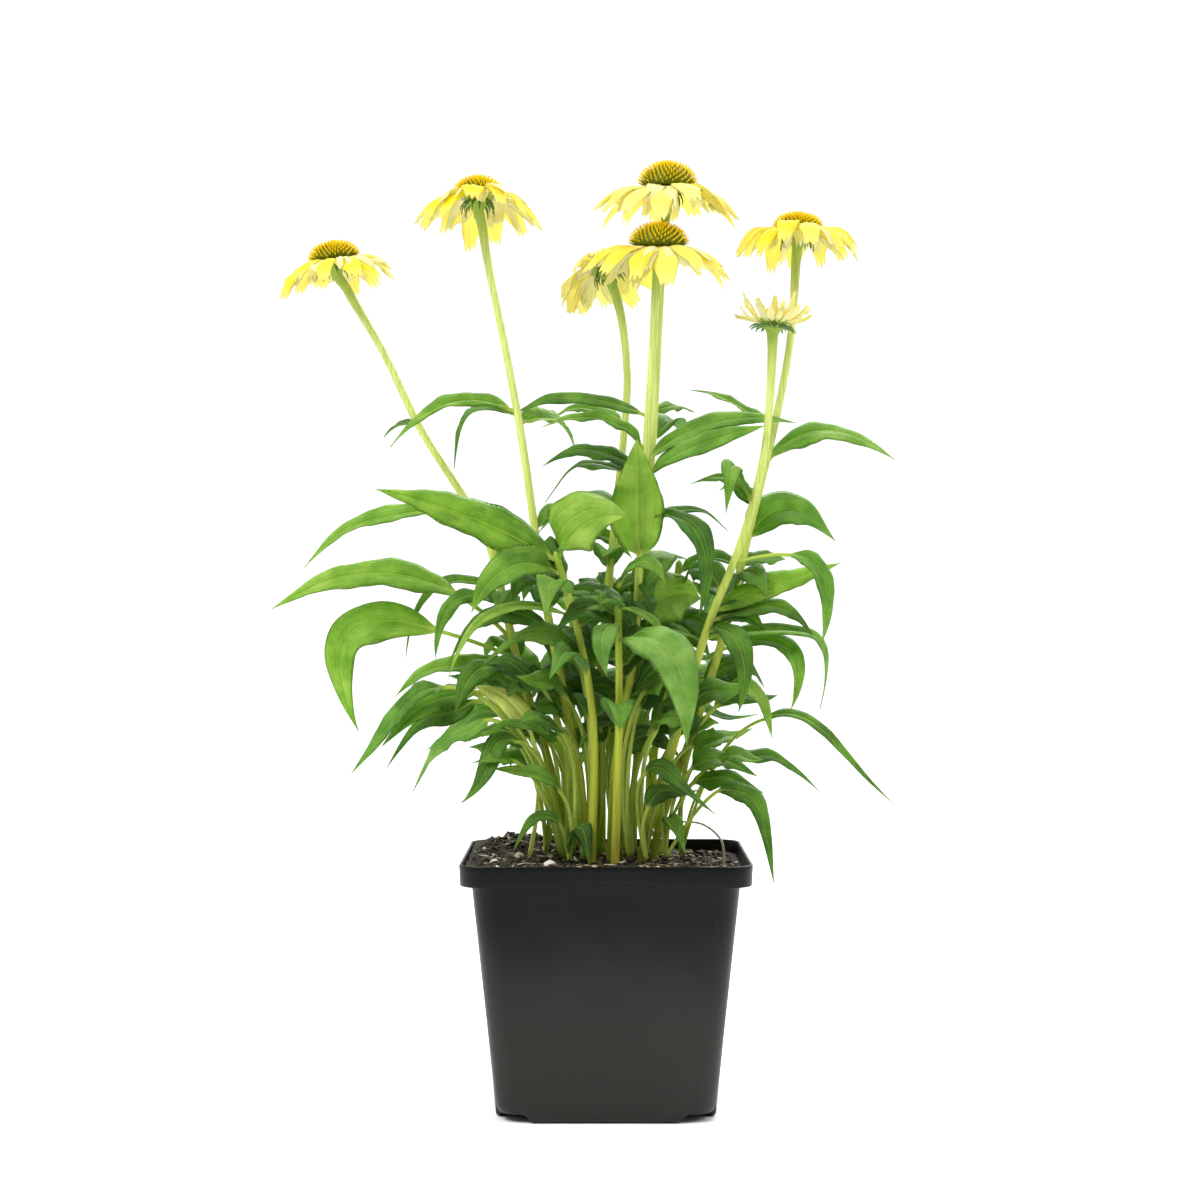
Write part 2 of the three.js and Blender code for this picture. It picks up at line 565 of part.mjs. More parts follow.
// Crowns [x, y] at the soil, with their leaves on long stalks: [turn, reach, lift, arch, width, lean, stalk].
const CROWNS = [
  {
    at: [-26, -12],
    leaves: [
      [180, 127, 54, 70, 20, 0.3, 0.62], [172, 108, 58, 60, 19, 0.3, 0.6], [200, 93, 46, 56, 17, 0.35, 0.6],
      [215, 72, 42, 46, 15, 0.35, 0.6], [195, 50, 60, 38, 15, 0.2, 0.6], [168, 48, 122, 28, 22, 0.25, 0.65],
    ],
  },
  {
    at: [-36, 6],
    leaves: [
      [188, 100, 76, 56, 19, 0.28, 0.62], [165, 50, 58, 30, 14, 0, 0.55],
      [140, 70, 70, 30, 19, 0.2, 0.6], [176, 60, 112, 32, 22, 0.25, 0.65],
    ],
  },
  {
    at: [-28, 28],
    leaves: [
      [160, 90, 60, 45, 19, 0.25, 0.6], [120, 60, 80, 30, 19, 0.2, 0.6],
      [150, 50, 132, 26, 22, 0.2, 0.65],
    ],
  },
  {
    at: [36, -14],
    leaves: [
      [-15, 66, -9, 49, 15, 0.09, 0.35], [-50, 18, 5, 22, 12, 0, 0.3], [20, 60, 50, 30, 16, 0.2, 0.5],
      [-8, 50, 104, 28, 21, 0.25, 0.65],
    ],
  },
  {
    at: [46, 6],
    leaves: [
      [5, 131, 37, 65, 12, 0.04, 0.5], [-20, 52, 50, 30, 18, 0, 0.5], [20, 93, 42, 40, 12, 0, 0.5],
      [40, 60, 78, 25, 15, 0, 0.5], [10, 60, 100, 30, 20, 0.25, 0.65],
    ],
  },
  {
    at: [32, 32],
    leaves: [
      [20, 68, 90, 40, 15, 0, 0.55], [60, 70, 70, 35, 19, 0.2, 0.6], [100, 50, 90, 20, 19, 0.1, 0.6],
      [42, 50, 132, 26, 22, 0.2, 0.65],
    ],
  },
  {
    at: [8, 34],
    leaves: [
      [80, 70, 80, 35, 20, 0.2, 0.6], [120, 60, 60, 30, 19, 0.2, 0.6], [70, 40, 140, 24, 22, 0.2, 0.65],
    ],
  },
  {
    at: [-22, -28],
    leaves: [
      [190, 46, 55, 22, 14, 0, 0.5], [200, 35, 8, 24, 11, 0, 0.3], [-50, 19, 0, 20, 19],
      [-142, 36, 88, 26, 18, 0.3, 0.65],
    ],
  },
  {
    at: [24, -24],
    leaves: [
      [-15, 42, 30, 42, 18, 0.15, 0.5], [20, 34, 44, 18, 14, 0, 0.45],
      [-40, 36, 88, 24, 18, 0.3, 0.65],
    ],
  },
  {
    at: [-18, 46],
    leaves: [
      [130, 80, 56, 42, 20, 0.2, 0.6], [95, 60, 40, 36, 19, 0.2, 0.6],
      [110, 50, 122, 26, 22, 0.2, 0.65],
    ],
  },
  {
    at: [14, -17],
    leaves: [[-20, 34, 118, 22, 20, 0.25, 0.7], [60, 26, 130, 14, 18, 0.2, 0.7]],
  },
  {
    at: [-12, -14],
    leaves: [[200, 44, 112, 26, 19, 0.25, 0.68], [125, 30, 134, 20, 18, 0.2, 0.7]],
  },
  {
    at: [18, 22],
    leaves: [
      [12, 50, 118, 26, 22, 0.25, 0.65], [95, 30, 150, 16, 20, 0.2, 0.65],
      [-30, 40, 84, 22, 18, 0.25, 0.65],
    ],
  },
];

const YELLOWED_LEAF = { at: [-46, -4], leaf: [165, 34, 84, 24, 22, 0.25, 0.55] };
const DEAD_STALK = [[46, -6, 170], [58, -6, 168.5], [68, -6, 161], [71, -6, 152], [71, -6, 136]];

// ---- The plant, put together ----

const plant = new THREE.Group();
const paint = (color, roughness) => new THREE.MeshStandardMaterial({ color, roughness, metalness: 0 });
const POT_BLACK = paint(0x24282a, 0.45);
const SOIL_BROWN = paint(0x33261b, 0.95);
const STEM_GREEN = paint(0x6ea332, 0.6);
const LEAF_GREEN = paint(0x3f8a22, 0.5);
const PETAL_YELLOW = paint(0xf6e32a, 0.65);
const CONE_GOLD = paint(0xc8940f, 0.75);
const OLD_LEAF = paint(0xd9d25a, 0.7);
const STALK_STRAW = paint(0xb9ad93, 0.85);

// Every piece so far, by name. A piece grows as leaves are joined to it, and each new leaf keeps clear of the
// rest.
const pieces = new Map();
const place = (name, look, body) => pieces.set(name, { look, body });

function boxesMeet(a, b) {
  return [0, 1, 2].every((axis) => a.min[axis] <= b.max[axis] && b.min[axis] <= a.max[axis]);
}

function meets(blade, body) {
  return boxesMeet(blade.boundingBox(), body.boundingBox()) && !blade.intersect(body).isEmpty();
}

// Joins a leaf to its piece in the first bend that is clear. All of it is clear of every other piece, and
// past a share of its length, with some room round it, of its own piece too.
function attach(name, root, blade, from) {
  const own = pieces.get(name);
  const others = [...pieces].filter(([other]) => other !== name).map(([, piece]) => piece.body);
  const bend = BENDS.find((way) => {
    const bare = leaf(root, blade, way);
    const outer = leaf(root, blade, way, LEAF_ROOM, from);
    return !others.some((body) => meets(outer, body) || meets(bare, body)) && !meets(outer, own.body);
  });
  if (!bend) {
    console.error(`${name}: leaf at ${blade.z}, turned ${blade.turn}, finds no room`);
    return;
  }
  own.body = own.body.add(leaf(root, blade, bend));
}

place("pot", POT_BLACK, makePot());

// Stems first, so that leaves can keep clear of all of them.
const holes = [];
const growing = [];
FLOWER_STEMS.forEach((stem, i) => {
  const name = `flower_stem_${i + 1}`;
  const made = makeFlowerStem(stem);
  place(name, STEM_GREEN, made.body);
  holes.push(stemHole(stem.knots, neckHeight(stem)));
  growing.push({ name, stem });
  stem.frame = made.frame;
});
LEAFY_SHOOTS.forEach((stem, i) => {
  const name = `leafy_shoot_${i + 1}`;
  const top = stem.knots[0][2];
  place(name, LEAF_GREEN, loft([...shaft(stem.knots, top), [v3(...stem.knots[0]).addScaledVector(UP, 4)]]));
  holes.push(stemHole(stem.knots, top));
  growing.push({ name, stem });
});

// Each crown is a short stub at the soil, narrower at its foot and pointed.
const CROWN_NECK = CROWN - 3;
const CROWN_TOP = CROWN + 3;
const ABOVE_SOIL = CROWN + 30;
const FOOT_SHARE = 0.7;
const stub = ([x, y], radius) => {
  const foot = hoop(v3(x, y, STEM_FOOT), FOOT_SHARE * radius, UP, STEM_SIDES);
  const neck = hoop(v3(x, y, CROWN_NECK), radius, UP, STEM_SIDES);
  return loft([foot, neck, [v3(x, y, CROWN_TOP)]]);
};
const crownHole = ([x, y], radius) => {
  const wide = radius + GAP + 0.05;
  const foot = hoop(v3(x, y, STEM_FOOT - GAP), FOOT_SHARE * radius + GAP, UP, STEM_SIDES);
  return loft([foot, ...[CROWN_NECK, ABOVE_SOIL].map((z) => hoop(v3(x, y, z), wide, UP, STEM_SIDES))]);
};
CROWNS.forEach(({ at }, i) => {
  place(`basal_tuft_${i + 1}`, LEAF_GREEN, stub(at, CROWN_RADIUS));
  holes.push(crownHole(at, CROWN_RADIUS));
});
place("yellowed_leaf", OLD_LEAF, stub(YELLOWED_LEAF.at, OLD_CROWN_RADIUS));
holes.push(crownHole(YELLOWED_LEAF.at, OLD_CROWN_RADIUS));

// The dead stalk is a thin wire of old stem that arches out of the soil.
const arch = new THREE.CatmullRomCurve3(DEAD_STALK.map((knot) => v3(...knot)));
const wire = (radius) =>
  loft(Array.from({ length: 9 }, (_, k) => hoop(arch.getPoint(k / 8), radius, arch.getTangent(k / 8), 4)));
place("dead_stalk", STALK_STRAW, wire(WIRE_RADIUS));
holes.push(wire(WIRE_RADIUS + GAP + 0.2));

place("soil", SOIL_BROWN, makeSoil(holes));

// A cone is a dome of spines: every second point of its grid is drawn out.
const CONE_FOOT = 0.8; // share of its radius at its underside
const CONE_LIP = 0.6; // how high its widest spines start over its underside
const LOW_TILT = 8; // degrees by which the lowest spines point up
const TILT_STEP = 21;
function makeCone(stem) {
  const { cone, dome } = stem.head;
  const rings = [hoop(v3(0, 0, CONE_LOW), CONE_FOOT * cone, UP, CONE_SIDES)];
  for (let level = 0; level < CONE_LEVELS; level++) {
    const tilt = rad(LOW_TILT + TILT_STEP * level);
    const ring = hoop(v3(0, 0, 0), 1, UP, CONE_SIDES).map((point, k) => {
      const out = (k + level) % 2 ? SPINE : 0;
      const height = CONE_LOW + CONE_LIP + (dome - SPINE + out) * Math.sin(tilt);
      return point.multiplyScalar((cone - SPINE + out) * Math.cos(tilt)).setZ(height);
    });
    rings.push(ring);
  }
  rings.push([v3(0, 0, CONE_LOW + dome)]);
  return loft(inFrame(stem.frame, rings));
}
FLOWER_STEMS.forEach((stem, i) => place(`bloom_${i + 1}_cone`, CONE_GOLD, makeCone(stem)));

// Petals stand in one ring on the rim of a thin disc, which lies between the receptacle and the cone. Petals
// and disc are one surface: the disc runs from its middle to the root of each petal and across to the next
// root.
const PETAL_STOPS = [[0, 0.32], [0.5, 1], [1, 0.62]]; // shares of its length, and of its full width there
const DISC_MIDDLE = (DISC_LOW + DISC_HIGH) / 2;
const HEAD_TURN = 23; // degrees by which each head is turned on from the one before
const TURN_SPREAD = 2; // how far petals vary in their turn, in degrees
const REACH_SPREAD = 0.07; // and as shares in their reach, drop and width
const DROP_SPREAD = 0.35;
const WIDTH_SPREAD = 0.1;

// A petal's rings from its root on the rim. Its root stays where it is however the rest bends.
function petalRings(ray, bend, spare) {
  const place = rad(ray.turn);
  const root = v3(DISC_RADIUS * Math.cos(place), DISC_RADIUS * Math.sin(place), DISC_MIDDLE);
  const rib = midrib(root, ray, bend);
  const straight = midrib(root, ray, BENDS[0]);
  return PETAL_STOPS.map(([share, wide]) => {
    const half = (ray.width / 2) * wide + spare;
    const ring = section(share ? rib : straight, share, half, RAY_THICK + 2 * spare, share ? RAY_FOLD : 0, 0);
    if (share < 1) return ring;
    const out = rib.curve.getTangent(1);
    return ring.map((point, j) => point.addScaledVector(out, 1.5 * spare - (j % 2 ? NOTCH : 0)));
  });
}

function makeRays(frame, petals) {
  const points = [v3(0, 0, DISC_LOW), v3(0, 0, DISC_HIGH), ...petals.flat(2)];
  const faces = [];
  const stride = 4 * PETAL_STOPS.length;
  petals.forEach((rings, k) => {
    const first = 2 + k * stride;
    const following = 2 + ((k + 1) % petals.length) * stride;
    const [left, upper, right, lower] = [first, first + 1, first + 2, first + 3];
    faces.push([1, left, upper], [1, upper, right], [1, right, following]);
    faces.push([0, lower, left], [0, right, lower], [0, following, right]);
    for (let i = 0; i + 1 < rings.length; i++) {
      for (let j = 0; j < 4; j++) {
        const here = first + 4 * i;
        const a = here + j;
        const b = here + ((j + 1) % 4);
        faces.push(...(j % 2 ? [[a, a + 4, b], [b, a + 4, b + 4]] : [[a, a + 4, b + 4], [a, b + 4, b]]));
      }
    }
    const end = first + stride - 4;
    faces.push([end + 1, end + 3, end + 2], [end + 1, end, end + 3]);
  });
  return solid(
    points.map((point) => point.clone().applyMatrix4(frame)),
    faces,
  );
}

// Petal k of head i, between its root on the rim and its tip.
function makeRay({ rays, reach, drop, bow, width }, i, k) {
  return {
    turn: (360 / rays) * k + HEAD_TURN * i + TURN_SPREAD * vary(k + 5 * i),
    reach: (reach - DISC_RADIUS) * (1 + REACH_SPREAD * vary(3 * k + i)),
    lift: -drop * (1 + DROP_SPREAD * vary(2 * k + 3 * i + 1)),
    arch: bow,
    width: width * (1 + WIDTH_SPREAD * vary(5 * k + i)),
  };
}

FLOWER_STEMS.forEach((stem, i) => {
  const name = `bloom_${i + 1}_rays`;
  const others = [...pieces].map(([, piece]) => piece.body);
  const grown = [];
  const petals = [];
  for (let k = 0; k < stem.head.rays; k++) {
    const ray = makeRay(stem.head, i, k);
    const bend = BENDS.find((way) => {
      const blade = loft(inFrame(stem.frame, petalRings(ray, way, 0)));
      const outer = loft(inFrame(stem.frame, petalRings(ray, way, RAY_ROOM).slice(1)));
      if (grown.some((body) => meets(blade, body))) return false;
      return !others.some((body) => meets(outer, body) || meets(blade, body));
    });
    if (!bend) {
      console.error(`${name}: petal ${k} finds no room`);
      continue;
    }
    petals.push(petalRings(ray, bend, 0));
    grown.push(loft(inFrame(stem.frame, petals.at(-1))));
  }
  place(name, PETAL_YELLOW, makeRays(stem.frame, petals));
});

// Leaves last, stem by stem and then crown by crown. Stalks of one crown may touch low down.
const CLEAR_OF_STEM = 0.14; // shares of a leaf's length past which it is clear of its own piece
const CLEAR_OF_CROWN = 0.4;
for (const { name, stem } of growing) {
  for (const row of stem.leaves) {
    const blade = asLeaf(row);
    attach(name, stemPoint(stem.knots, blade.z), blade, CLEAR_OF_STEM);
  }
}
CROWNS.forEach(({ at, leaves }, i) => {
  for (const row of leaves) {
    attach(`basal_tuft_${i + 1}`, v3(...at, CROWN), asLeaf([CROWN, ...row]), CLEAR_OF_CROWN);
  }
});
const oldBlade = asLeaf([CROWN, ...YELLOWED_LEAF.leaf]);
attach("yellowed_leaf", v3(...YELLOWED_LEAF.at, CROWN), oldBlade, CLEAR_OF_CROWN);

for (const [name, { look, body }] of pieces) {
  const made = body.getMesh();
  const shape = new THREE.BufferGeometry()
    .setAttribute("position", new THREE.BufferAttribute(made.vertProperties, 3))
    .setIndex(new THREE.BufferAttribute(made.triVerts, 1));
  shape.computeVertexNormals();
  const mesh = new THREE.Mesh(shape, look);
  mesh.name = name;
  plant.add(mesh);
}

export default plant;
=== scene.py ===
"""A yellow-flowered coneflower growing in a square nursery pot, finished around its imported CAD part.

For Blender 4.5. Lengths are in millimetres, and add_piece turns them into metres. +Z is up, -Y the front.
"""

import bpy
import numpy as np
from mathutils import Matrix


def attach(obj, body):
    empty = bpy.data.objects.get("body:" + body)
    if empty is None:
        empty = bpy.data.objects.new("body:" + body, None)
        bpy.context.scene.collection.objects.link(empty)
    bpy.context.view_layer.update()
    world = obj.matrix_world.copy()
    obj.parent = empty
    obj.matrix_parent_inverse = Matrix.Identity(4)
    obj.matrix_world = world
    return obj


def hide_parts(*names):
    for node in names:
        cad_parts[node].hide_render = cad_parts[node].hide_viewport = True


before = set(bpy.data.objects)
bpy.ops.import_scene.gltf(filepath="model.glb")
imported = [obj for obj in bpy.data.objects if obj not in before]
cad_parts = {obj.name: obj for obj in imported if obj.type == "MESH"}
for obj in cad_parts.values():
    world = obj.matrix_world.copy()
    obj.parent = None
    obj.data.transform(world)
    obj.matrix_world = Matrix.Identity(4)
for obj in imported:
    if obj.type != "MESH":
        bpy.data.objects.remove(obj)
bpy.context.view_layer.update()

# ---- Pot ----
# A square nursery pot of thin black polypropylene, moulded in one piece. A deep collar runs round its rim,
# shallower in the middle of each side. It stands on four low aprons, and the corners between are open.

MM = 0.001
POT_HEIGHT = 151
RIM_HALF = 85  # half the width over the collar
WALL_TOP_HALF = 78
WALL_FOOT_HALF = 64.6
PAD_HALF = 38  # the flat pad in the middle of the underside
COLLAR_MIDDLE = 10.5  # depth of the collar in the middle of a side, and at the corners
COLLAR_CORNER = 12.5
CORNER_LIFT = 4.8  # height of the corners off the ground
CORNER_SHARE = 0.2  # radius of a corner as a share of half the width
COLLAR_STEP = (0.27, 0.35)  # shares of the way from a side's middle to its end where the collar deepens
APRON_END = (0.66, 0.79)  # and where the aprons end
FLOOR_THICK = 1.8
WALL_THICK = 1.2
RIM_THICK = 2
SIDE_POINTS = 49  # points along each straight side, and round each corner
CORNER_POINTS = 12
SIDE_DRAIN = (52, 4)  # how far out a drain hole lies, and its radius
CORNER_DRAIN = (62, 5)
DRILL_SIDES = 24
DRILL_TOP = 9


def ease(low, high, value):
    """0 below low, 1 above high, and 3t^2 - 2t^3 between them."""
    t = np.clip((value - low) / (high - low), 0, 1)
    return t * t * (3 - 2 * t)


def stacked(*values):
    """Numbers or arrays that fit together, as the last axis of one array."""
    return np.stack(np.broadcast_arrays(*values), -1)


def spokes(turn):
    """Level unit vectors at turns in radians, 0 to the right and a quarter turn to the back."""
    return stacked(np.cos(turn), np.sin(turn), 0 * turn)


def square_ring(half, height):
    """A square ring with round corners. Each side runs straight and then turns a quarter circle. height is
    a number, or a function of the share of the way from a side's middle to its end."""
    along = np.linspace(CORNER_SHARE - 1, 1 - CORNER_SHARE, SIDE_POINTS)
    turn = np.linspace(0, np.pi / 2, CORNER_POINTS + 2)[1:-1]
    corner = CORNER_SHARE * half
    x = np.append(np.full(SIDE_POINTS, half), half - corner * (1 - np.cos(turn)))
    y = np.append(along * half, half - corner * (1 - np.sin(turn)))
    share = np.append(np.abs(along), np.ones(CORNER_POINTS))
    z = height(share) if callable(height) else height
    quarters = ((1, 0), (0, 1), (-1, 0), (0, -1))
    return np.concatenate([stacked(c * x - s * y, s * x + c * y, z) for c, s in quarters])


def ring_walls(count, sides):
    """Squares between each of several rings of points and the next."""
    here = np.arange(sides)
    start = sides * np.arange(count - 1)[:, None]
    after = np.roll(here, -1)
    return stacked(start + here, start + after, start + sides + after, start + sides + here).reshape(-1, 4)


def skin(rings, **attributes):
    """Closed tubes through rings of points, given as (tubes, rings, points, 3). Walls are squares between
    one ring and the next, and strips that join point j to point -j zip each end ring shut."""
    tubes, count, sides = rings.shape[:3]
    half = sides // 2
    j = np.arange(1, half - 1)
    strip = stacked(j + 1, j, sides - j, sides - j - 1)
    ends = np.array([[1, 0, sides - 1], [half, half - 1, half + 1]])
    last = sides * (count - 1)
    squares = np.concatenate([ring_walls(count, sides), strip, strip[:, ::-1] + last])
    triangles = np.concatenate([ends, ends[:, ::-1] + last])
    corners = rings[0].reshape(-1, 3)
    a, b, c, d = (corners[squares[:, k]] for k in range(4))
    volume = (a * np.cross(b, c)).sum() + (a * np.cross(c, d)).sum()
    if volume < 0:
        squares, triangles = squares[:, ::-1], triangles[:, ::-1]
    offsets = (sides * count * np.arange(tubes))[:, None, None]
    shaped = {key: np.broadcast_to(value, rings.shape).reshape(-1, 3) for key, value in attributes.items()}
    faces = (squares + offsets).reshape(-1, 4), (triangles + offsets).reshape(-1, 3)
    return rings.reshape(-1, 3), *faces, shaped


def mesh_object(name, points, faces, smooth=True):
    """A new mesh object in the scene, from points in millimetres."""
    mesh = bpy.data.meshes.new(name)
    mesh.from_pydata(points * MM, [], faces)
    mesh.polygons.foreach_set("use_smooth", np.full(len(faces), smooth))
    made = bpy.data.objects.new(name, mesh)
    bpy.context.scene.collection.objects.link(made)
    return made


def add_piece(name, surfaces, material, node=None):
    """One mesh object of closed surfaces, each a skin, with smooth shading. It rides on the root body,
    takes its finish from a slot, and stands for a CAD node if one is named."""
    first = np.cumsum([0] + [len(surface[0]) for surface in surfaces])
    points = np.concatenate([surface[0] for surface in surfaces])
    faces = []
    for start, (_, squares, triangles, _) in zip(first, surfaces):
        faces += (squares + start).tolist() + (triangles + start).tolist()
    piece = mesh_object(name, points, faces)
    for key in surfaces[0][3]:
        values = np.concatenate([surface[3][key] for surface in surfaces])
        layer = piece.data.attributes.new(key, "FLOAT_VECTOR", "POINT")
        layer.data.foreach_set("vector", values.ravel())
    piece.data.materials.append(material)
    piece.data.update()
    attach(piece, "root")
    if node:
        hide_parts(node)
    return piece


def rgba(colour):
    """A colour's socket, or its three numbers and full cover."""
    return colour if isinstance(colour, bpy.types.NodeSocket) else (*colour, 1)


class Finish:
    """A node material in the making. Its methods add nodes and give back the socket with the result."""

    def __init__(self, name):
        self.material = bpy.data.materials.new(name)
        self.material.use_nodes = True
        self.tree = self.material.node_tree
        self.tree.nodes.clear()
        self.place = self.add("TexCoord", out="Object")

    def add(self, kind, inputs=(), out=0, **settings):
        """One node. inputs gives its sockets by name or number, each a value or another node's socket."""
        node = self.tree.nodes.new("ShaderNode" + kind)
        for key, value in settings.items():
            setattr(node, key, value)
        for key, value in dict(inputs).items():
            if isinstance(value, bpy.types.NodeSocket):
                self.tree.links.new(value, node.inputs[key])
            else:
                node.inputs[key].default_value = value
        return node.outputs[out]

    def vector(self, name):
        """A point attribute as one socket."""
        return self.add("Attribute", out="Vector", attribute_name=name)

    def attribute(self, name):
        """The three numbers of a point attribute, as three sockets."""
        vector = self.vector(name)
        split = self.tree.nodes.new("ShaderNodeSeparateXYZ")
        self.tree.links.new(vector, split.inputs[0])
        return split.outputs

    def calc(self, operation, *values):
        """Arithmetic on one, two or three values."""
        return self.add("Math", enumerate(values), operation=operation)

    def times(self, first, second):
        return self.calc("MULTIPLY", first, second)

    def plus(self, first, second):
        return self.calc("ADD", first, second)

    def noise(self, scale, detail, rough=0.5, at=None):
        """Cloudy noise between 0 and 1, scale clouds to the metre unless it is laid on something else."""
        inputs = {"Vector": at or self.place, "Scale": scale, "Detail": detail, "Roughness": rough}
        return self.add("TexNoise", inputs)

    def streaks(self, scales, detail, scale=1, at=None):
        """Noise with a scale of its own along each axis."""
        stretched = self.add("Mapping", {"Vector": at or self.place, "Scale": scales})
        return self.noise(scale, detail, at=stretched)

    def spread(self, value, low, high, to_low=0.0, to_high=1.0):
        """Maps low..high smoothly to to_low..to_high."""
        inputs = {"Value": value, "From Min": low, "From Max": high, "To Min": to_low, "To Max": to_high}
        return self.add("MapRange", inputs, interpolation_type="SMOOTHSTEP")

    def ramp(self, value, *stops):
        """A colour that runs through stops, each a position and a colour."""
        socket = self.add("ValToRGB", {"Fac": value})
        elements = socket.node.color_ramp.elements
        while len(elements) < len(stops):
            elements.new(1)
        for element, (position, colour) in zip(elements, stops):
            element.position = position
            element.color = rgba(colour)
        return socket

    def mix(self, share, first, second, most=None):
        """A share of the second colour over the first, at most as much as told."""
        share = share if most is None else self.times(share, most)
        return self.add("Mix", {0: share, 6: rgba(first), 7: rgba(second)}, out=2, data_type="RGBA")

    def bump(self, height, depth, strength=1.0):
        """Relief of a depth in millimetres."""
        return self.add("Bump", {"Height": height, "Distance": depth * MM, "Strength": strength})

    def done(self, colour, rough, relief=None, glow=None, through=0.0, **sockets):
        """Puts the surface together. glow is the colour of the light that comes through, and through its
        share. Other sockets of the surface are named with underscores for spaces."""
        shape = {"Normal": relief} if relief else {}
        inputs = {"Base Color": rgba(colour), "Roughness": rough, **shape}
        inputs.update({key.replace("_", " "): value for key, value in sockets.items()})
        surface = self.add("BsdfPrincipled", inputs)
        if glow:
            light = self.add("BsdfTranslucent", {"Color": glow, **shape})
            surface = self.add("MixShader", {0: through, 1: surface, 2: light})
        output = self.tree.nodes.new("ShaderNodeOutputMaterial")
        self.tree.links.new(surface, output.inputs["Surface"])
        return self.material


def foot_height(share):
    """Height of the wall's foot: 0 on the aprons, raised at the corners."""
    return CORNER_LIFT * ease(*APRON_END, share)


def wall_start(share):
    """Where the flat wall begins: just over the ground on the aprons, twice the lift at the corners."""
    return 1 + (2 * CORNER_LIFT - 1) * ease(*APRON_END, share)


def ledge_height(share):
    """Height of the collar's lower edge, which steps up in the middle of each side."""
    return POT_HEIGHT - COLLAR_MIDDLE - (COLLAR_CORNER - COLLAR_MIDDLE) * ease(*COLLAR_STEP, share)


def pot_rings():
    """The pot's profile as rings: out along its underside, up the wall, round the collar and rim, and back
    down inside to the floor. A stop is half the width, a height, and how many equal steps follow it."""
    stops = [
        (PAD_HALF, 0, 1), (WALL_FOOT_HALF - 2.3, foot_height, 1), (WALL_FOOT_HALF, wall_start, 10),
        (WALL_TOP_HALF, ledge_height, 1), (RIM_HALF - 0.5, ledge_height, 3), (RIM_HALF, POT_HEIGHT, 1),
        (RIM_HALF - 1.5, POT_HEIGHT, 2), (RIM_HALF - RIM_THICK, lambda share: ledge_height(share) + 1.6, 1),
        (WALL_TOP_HALF - WALL_THICK, lambda share: ledge_height(share) + 1.4, 8),
        (WALL_FOOT_HALF - 3.8, lambda share: foot_height(share) + FLOOR_THICK, 1), (PAD_HALF, FLOOR_THICK, 1),
    ]
    corners = [square_ring(half, height) for half, height, _ in stops]
    rings = [corners[0]]
    for (_, _, count), low, high in zip(stops, corners, corners[1:]):
        rings += [low + (high - low) * k / count for k in range(1, count + 1)]
    return np.array(rings)[None]


def pot_plastic():
    """Black plastic with a soft sheen, with dusty clouds and fine upright scuffs. Painted shade makes it
    nearly black under the collar, and a painted reflection of the white floor makes it greyer towards the
    foot."""
    plastic = Finish("black_plastic")
    cloud = plastic.noise(26, 5)
    scuffs = plastic.streaks((1, 1, 0.18), 3, 420)
    height = plastic.add("SeparateXYZ", {0: plastic.place}, out=2)
    # painted shade and painted reflection: the colour runs from nearly black under the collar to grey at the
    # foot, blurred by the dust clouds
    low = plastic.spread(plastic.calc("MULTIPLY_ADD", cloud, 0.02, height), 0.055, 0.135, 1, 0)
    colour = plastic.ramp(
        low, (0.0, (0.003, 0.0034, 0.0034)), (0.55, (0.016, 0.0176, 0.0156)), (1.0, (0.0215, 0.0238, 0.02))
    )
    colour = plastic.mix(plastic.spread(scuffs, 0.55, 0.8), colour, (0.12, 0.12, 0.1), 0.025)
    rough = plastic.spread(plastic.plus(cloud, plastic.times(scuffs, 0.3)), 0.35, 0.95, 0.3, 0.42)
    relief = plastic.bump(plastic.noise(900, 2), 0.03, 0.5)
    return plastic.done(colour, rough, relief, Specular_IOR_Level=0.15)


def bored(piece, turns, out, radius):
    """Cuts round holes up through a piece's floor, at turns about its middle and as far out as told."""
    circle = radius * spokes(np.linspace(0, 2 * np.pi, DRILL_SIDES, endpoint=False))
    rings = out * spokes(turns)[:, None, None] + circle + [[[0, 0, -1]], [[0, 0, DRILL_TOP]]]
    points, squares, triangles, _ = skin(rings)
    drill = mesh_object("drill", points, squares.tolist() + triangles.tolist(), smooth=False)
    cut = piece.modifiers.new("drain_holes", "BOOLEAN")
    cut.operation = "DIFFERENCE"
    cut.solver = "EXACT"
    cut.object = drill
    bpy.context.view_layer.update()
    made = bpy.data.meshes.new_from_object(piece.evaluated_get(bpy.context.evaluated_depsgraph_get()))
    piece.modifiers.clear()
    piece.data = made
    bpy.data.objects.remove(drill)


pot = add_piece("pot_shell", [skin(pot_rings())], pot_plastic(), "pot")
edges = pot.modifiers.new("soft_edges", "BEVEL")
edges.width = 0.75 * MM
edges.segments = 3
edges.limit_method = "ANGLE"
edges.angle_limit = np.radians(38)
quarters = np.arange(4) * np.pi / 2
bored(pot, quarters, *SIDE_DRAIN)
bored(pot, quarters + np.pi / 4, *CORNER_DRAIN)

# ---- Soil ----
# Peat potting compost fills the pot almost to the rim. It falls a little towards the right and is heaped at
# the back left. Crumbs of peat, chips of bark, grains of perlite and bits of straw lie loose all over it.

SOIL_BED = 7  # underside of the root ball
SOIL_TOP = 145.5
SOIL_HALF = 82.3
SOIL_LEDGE = POT_HEIGHT - COLLAR_MIDDLE + 2  # where the soil widens into the collar
SOIL_LEAST = POT_HEIGHT - 7.8
SOIL_FALL = 0.035
SOIL_RINGS = 64
HEAP = dict(x=-45, y=58, high=7, wide=26)
CLOD_NET = 90
CLODS = [(9, 1.3), (4.3, 0.9), (2.1, 0.5)]  # how far apart hills of each size stand, and how high they are
GRAIN_RINGS = np.array([0.06, 0.36, 0.68, 0.95])  # where a grain's rings lie, in half turns from end to end
UP = np.array([0, 0, 1.0])


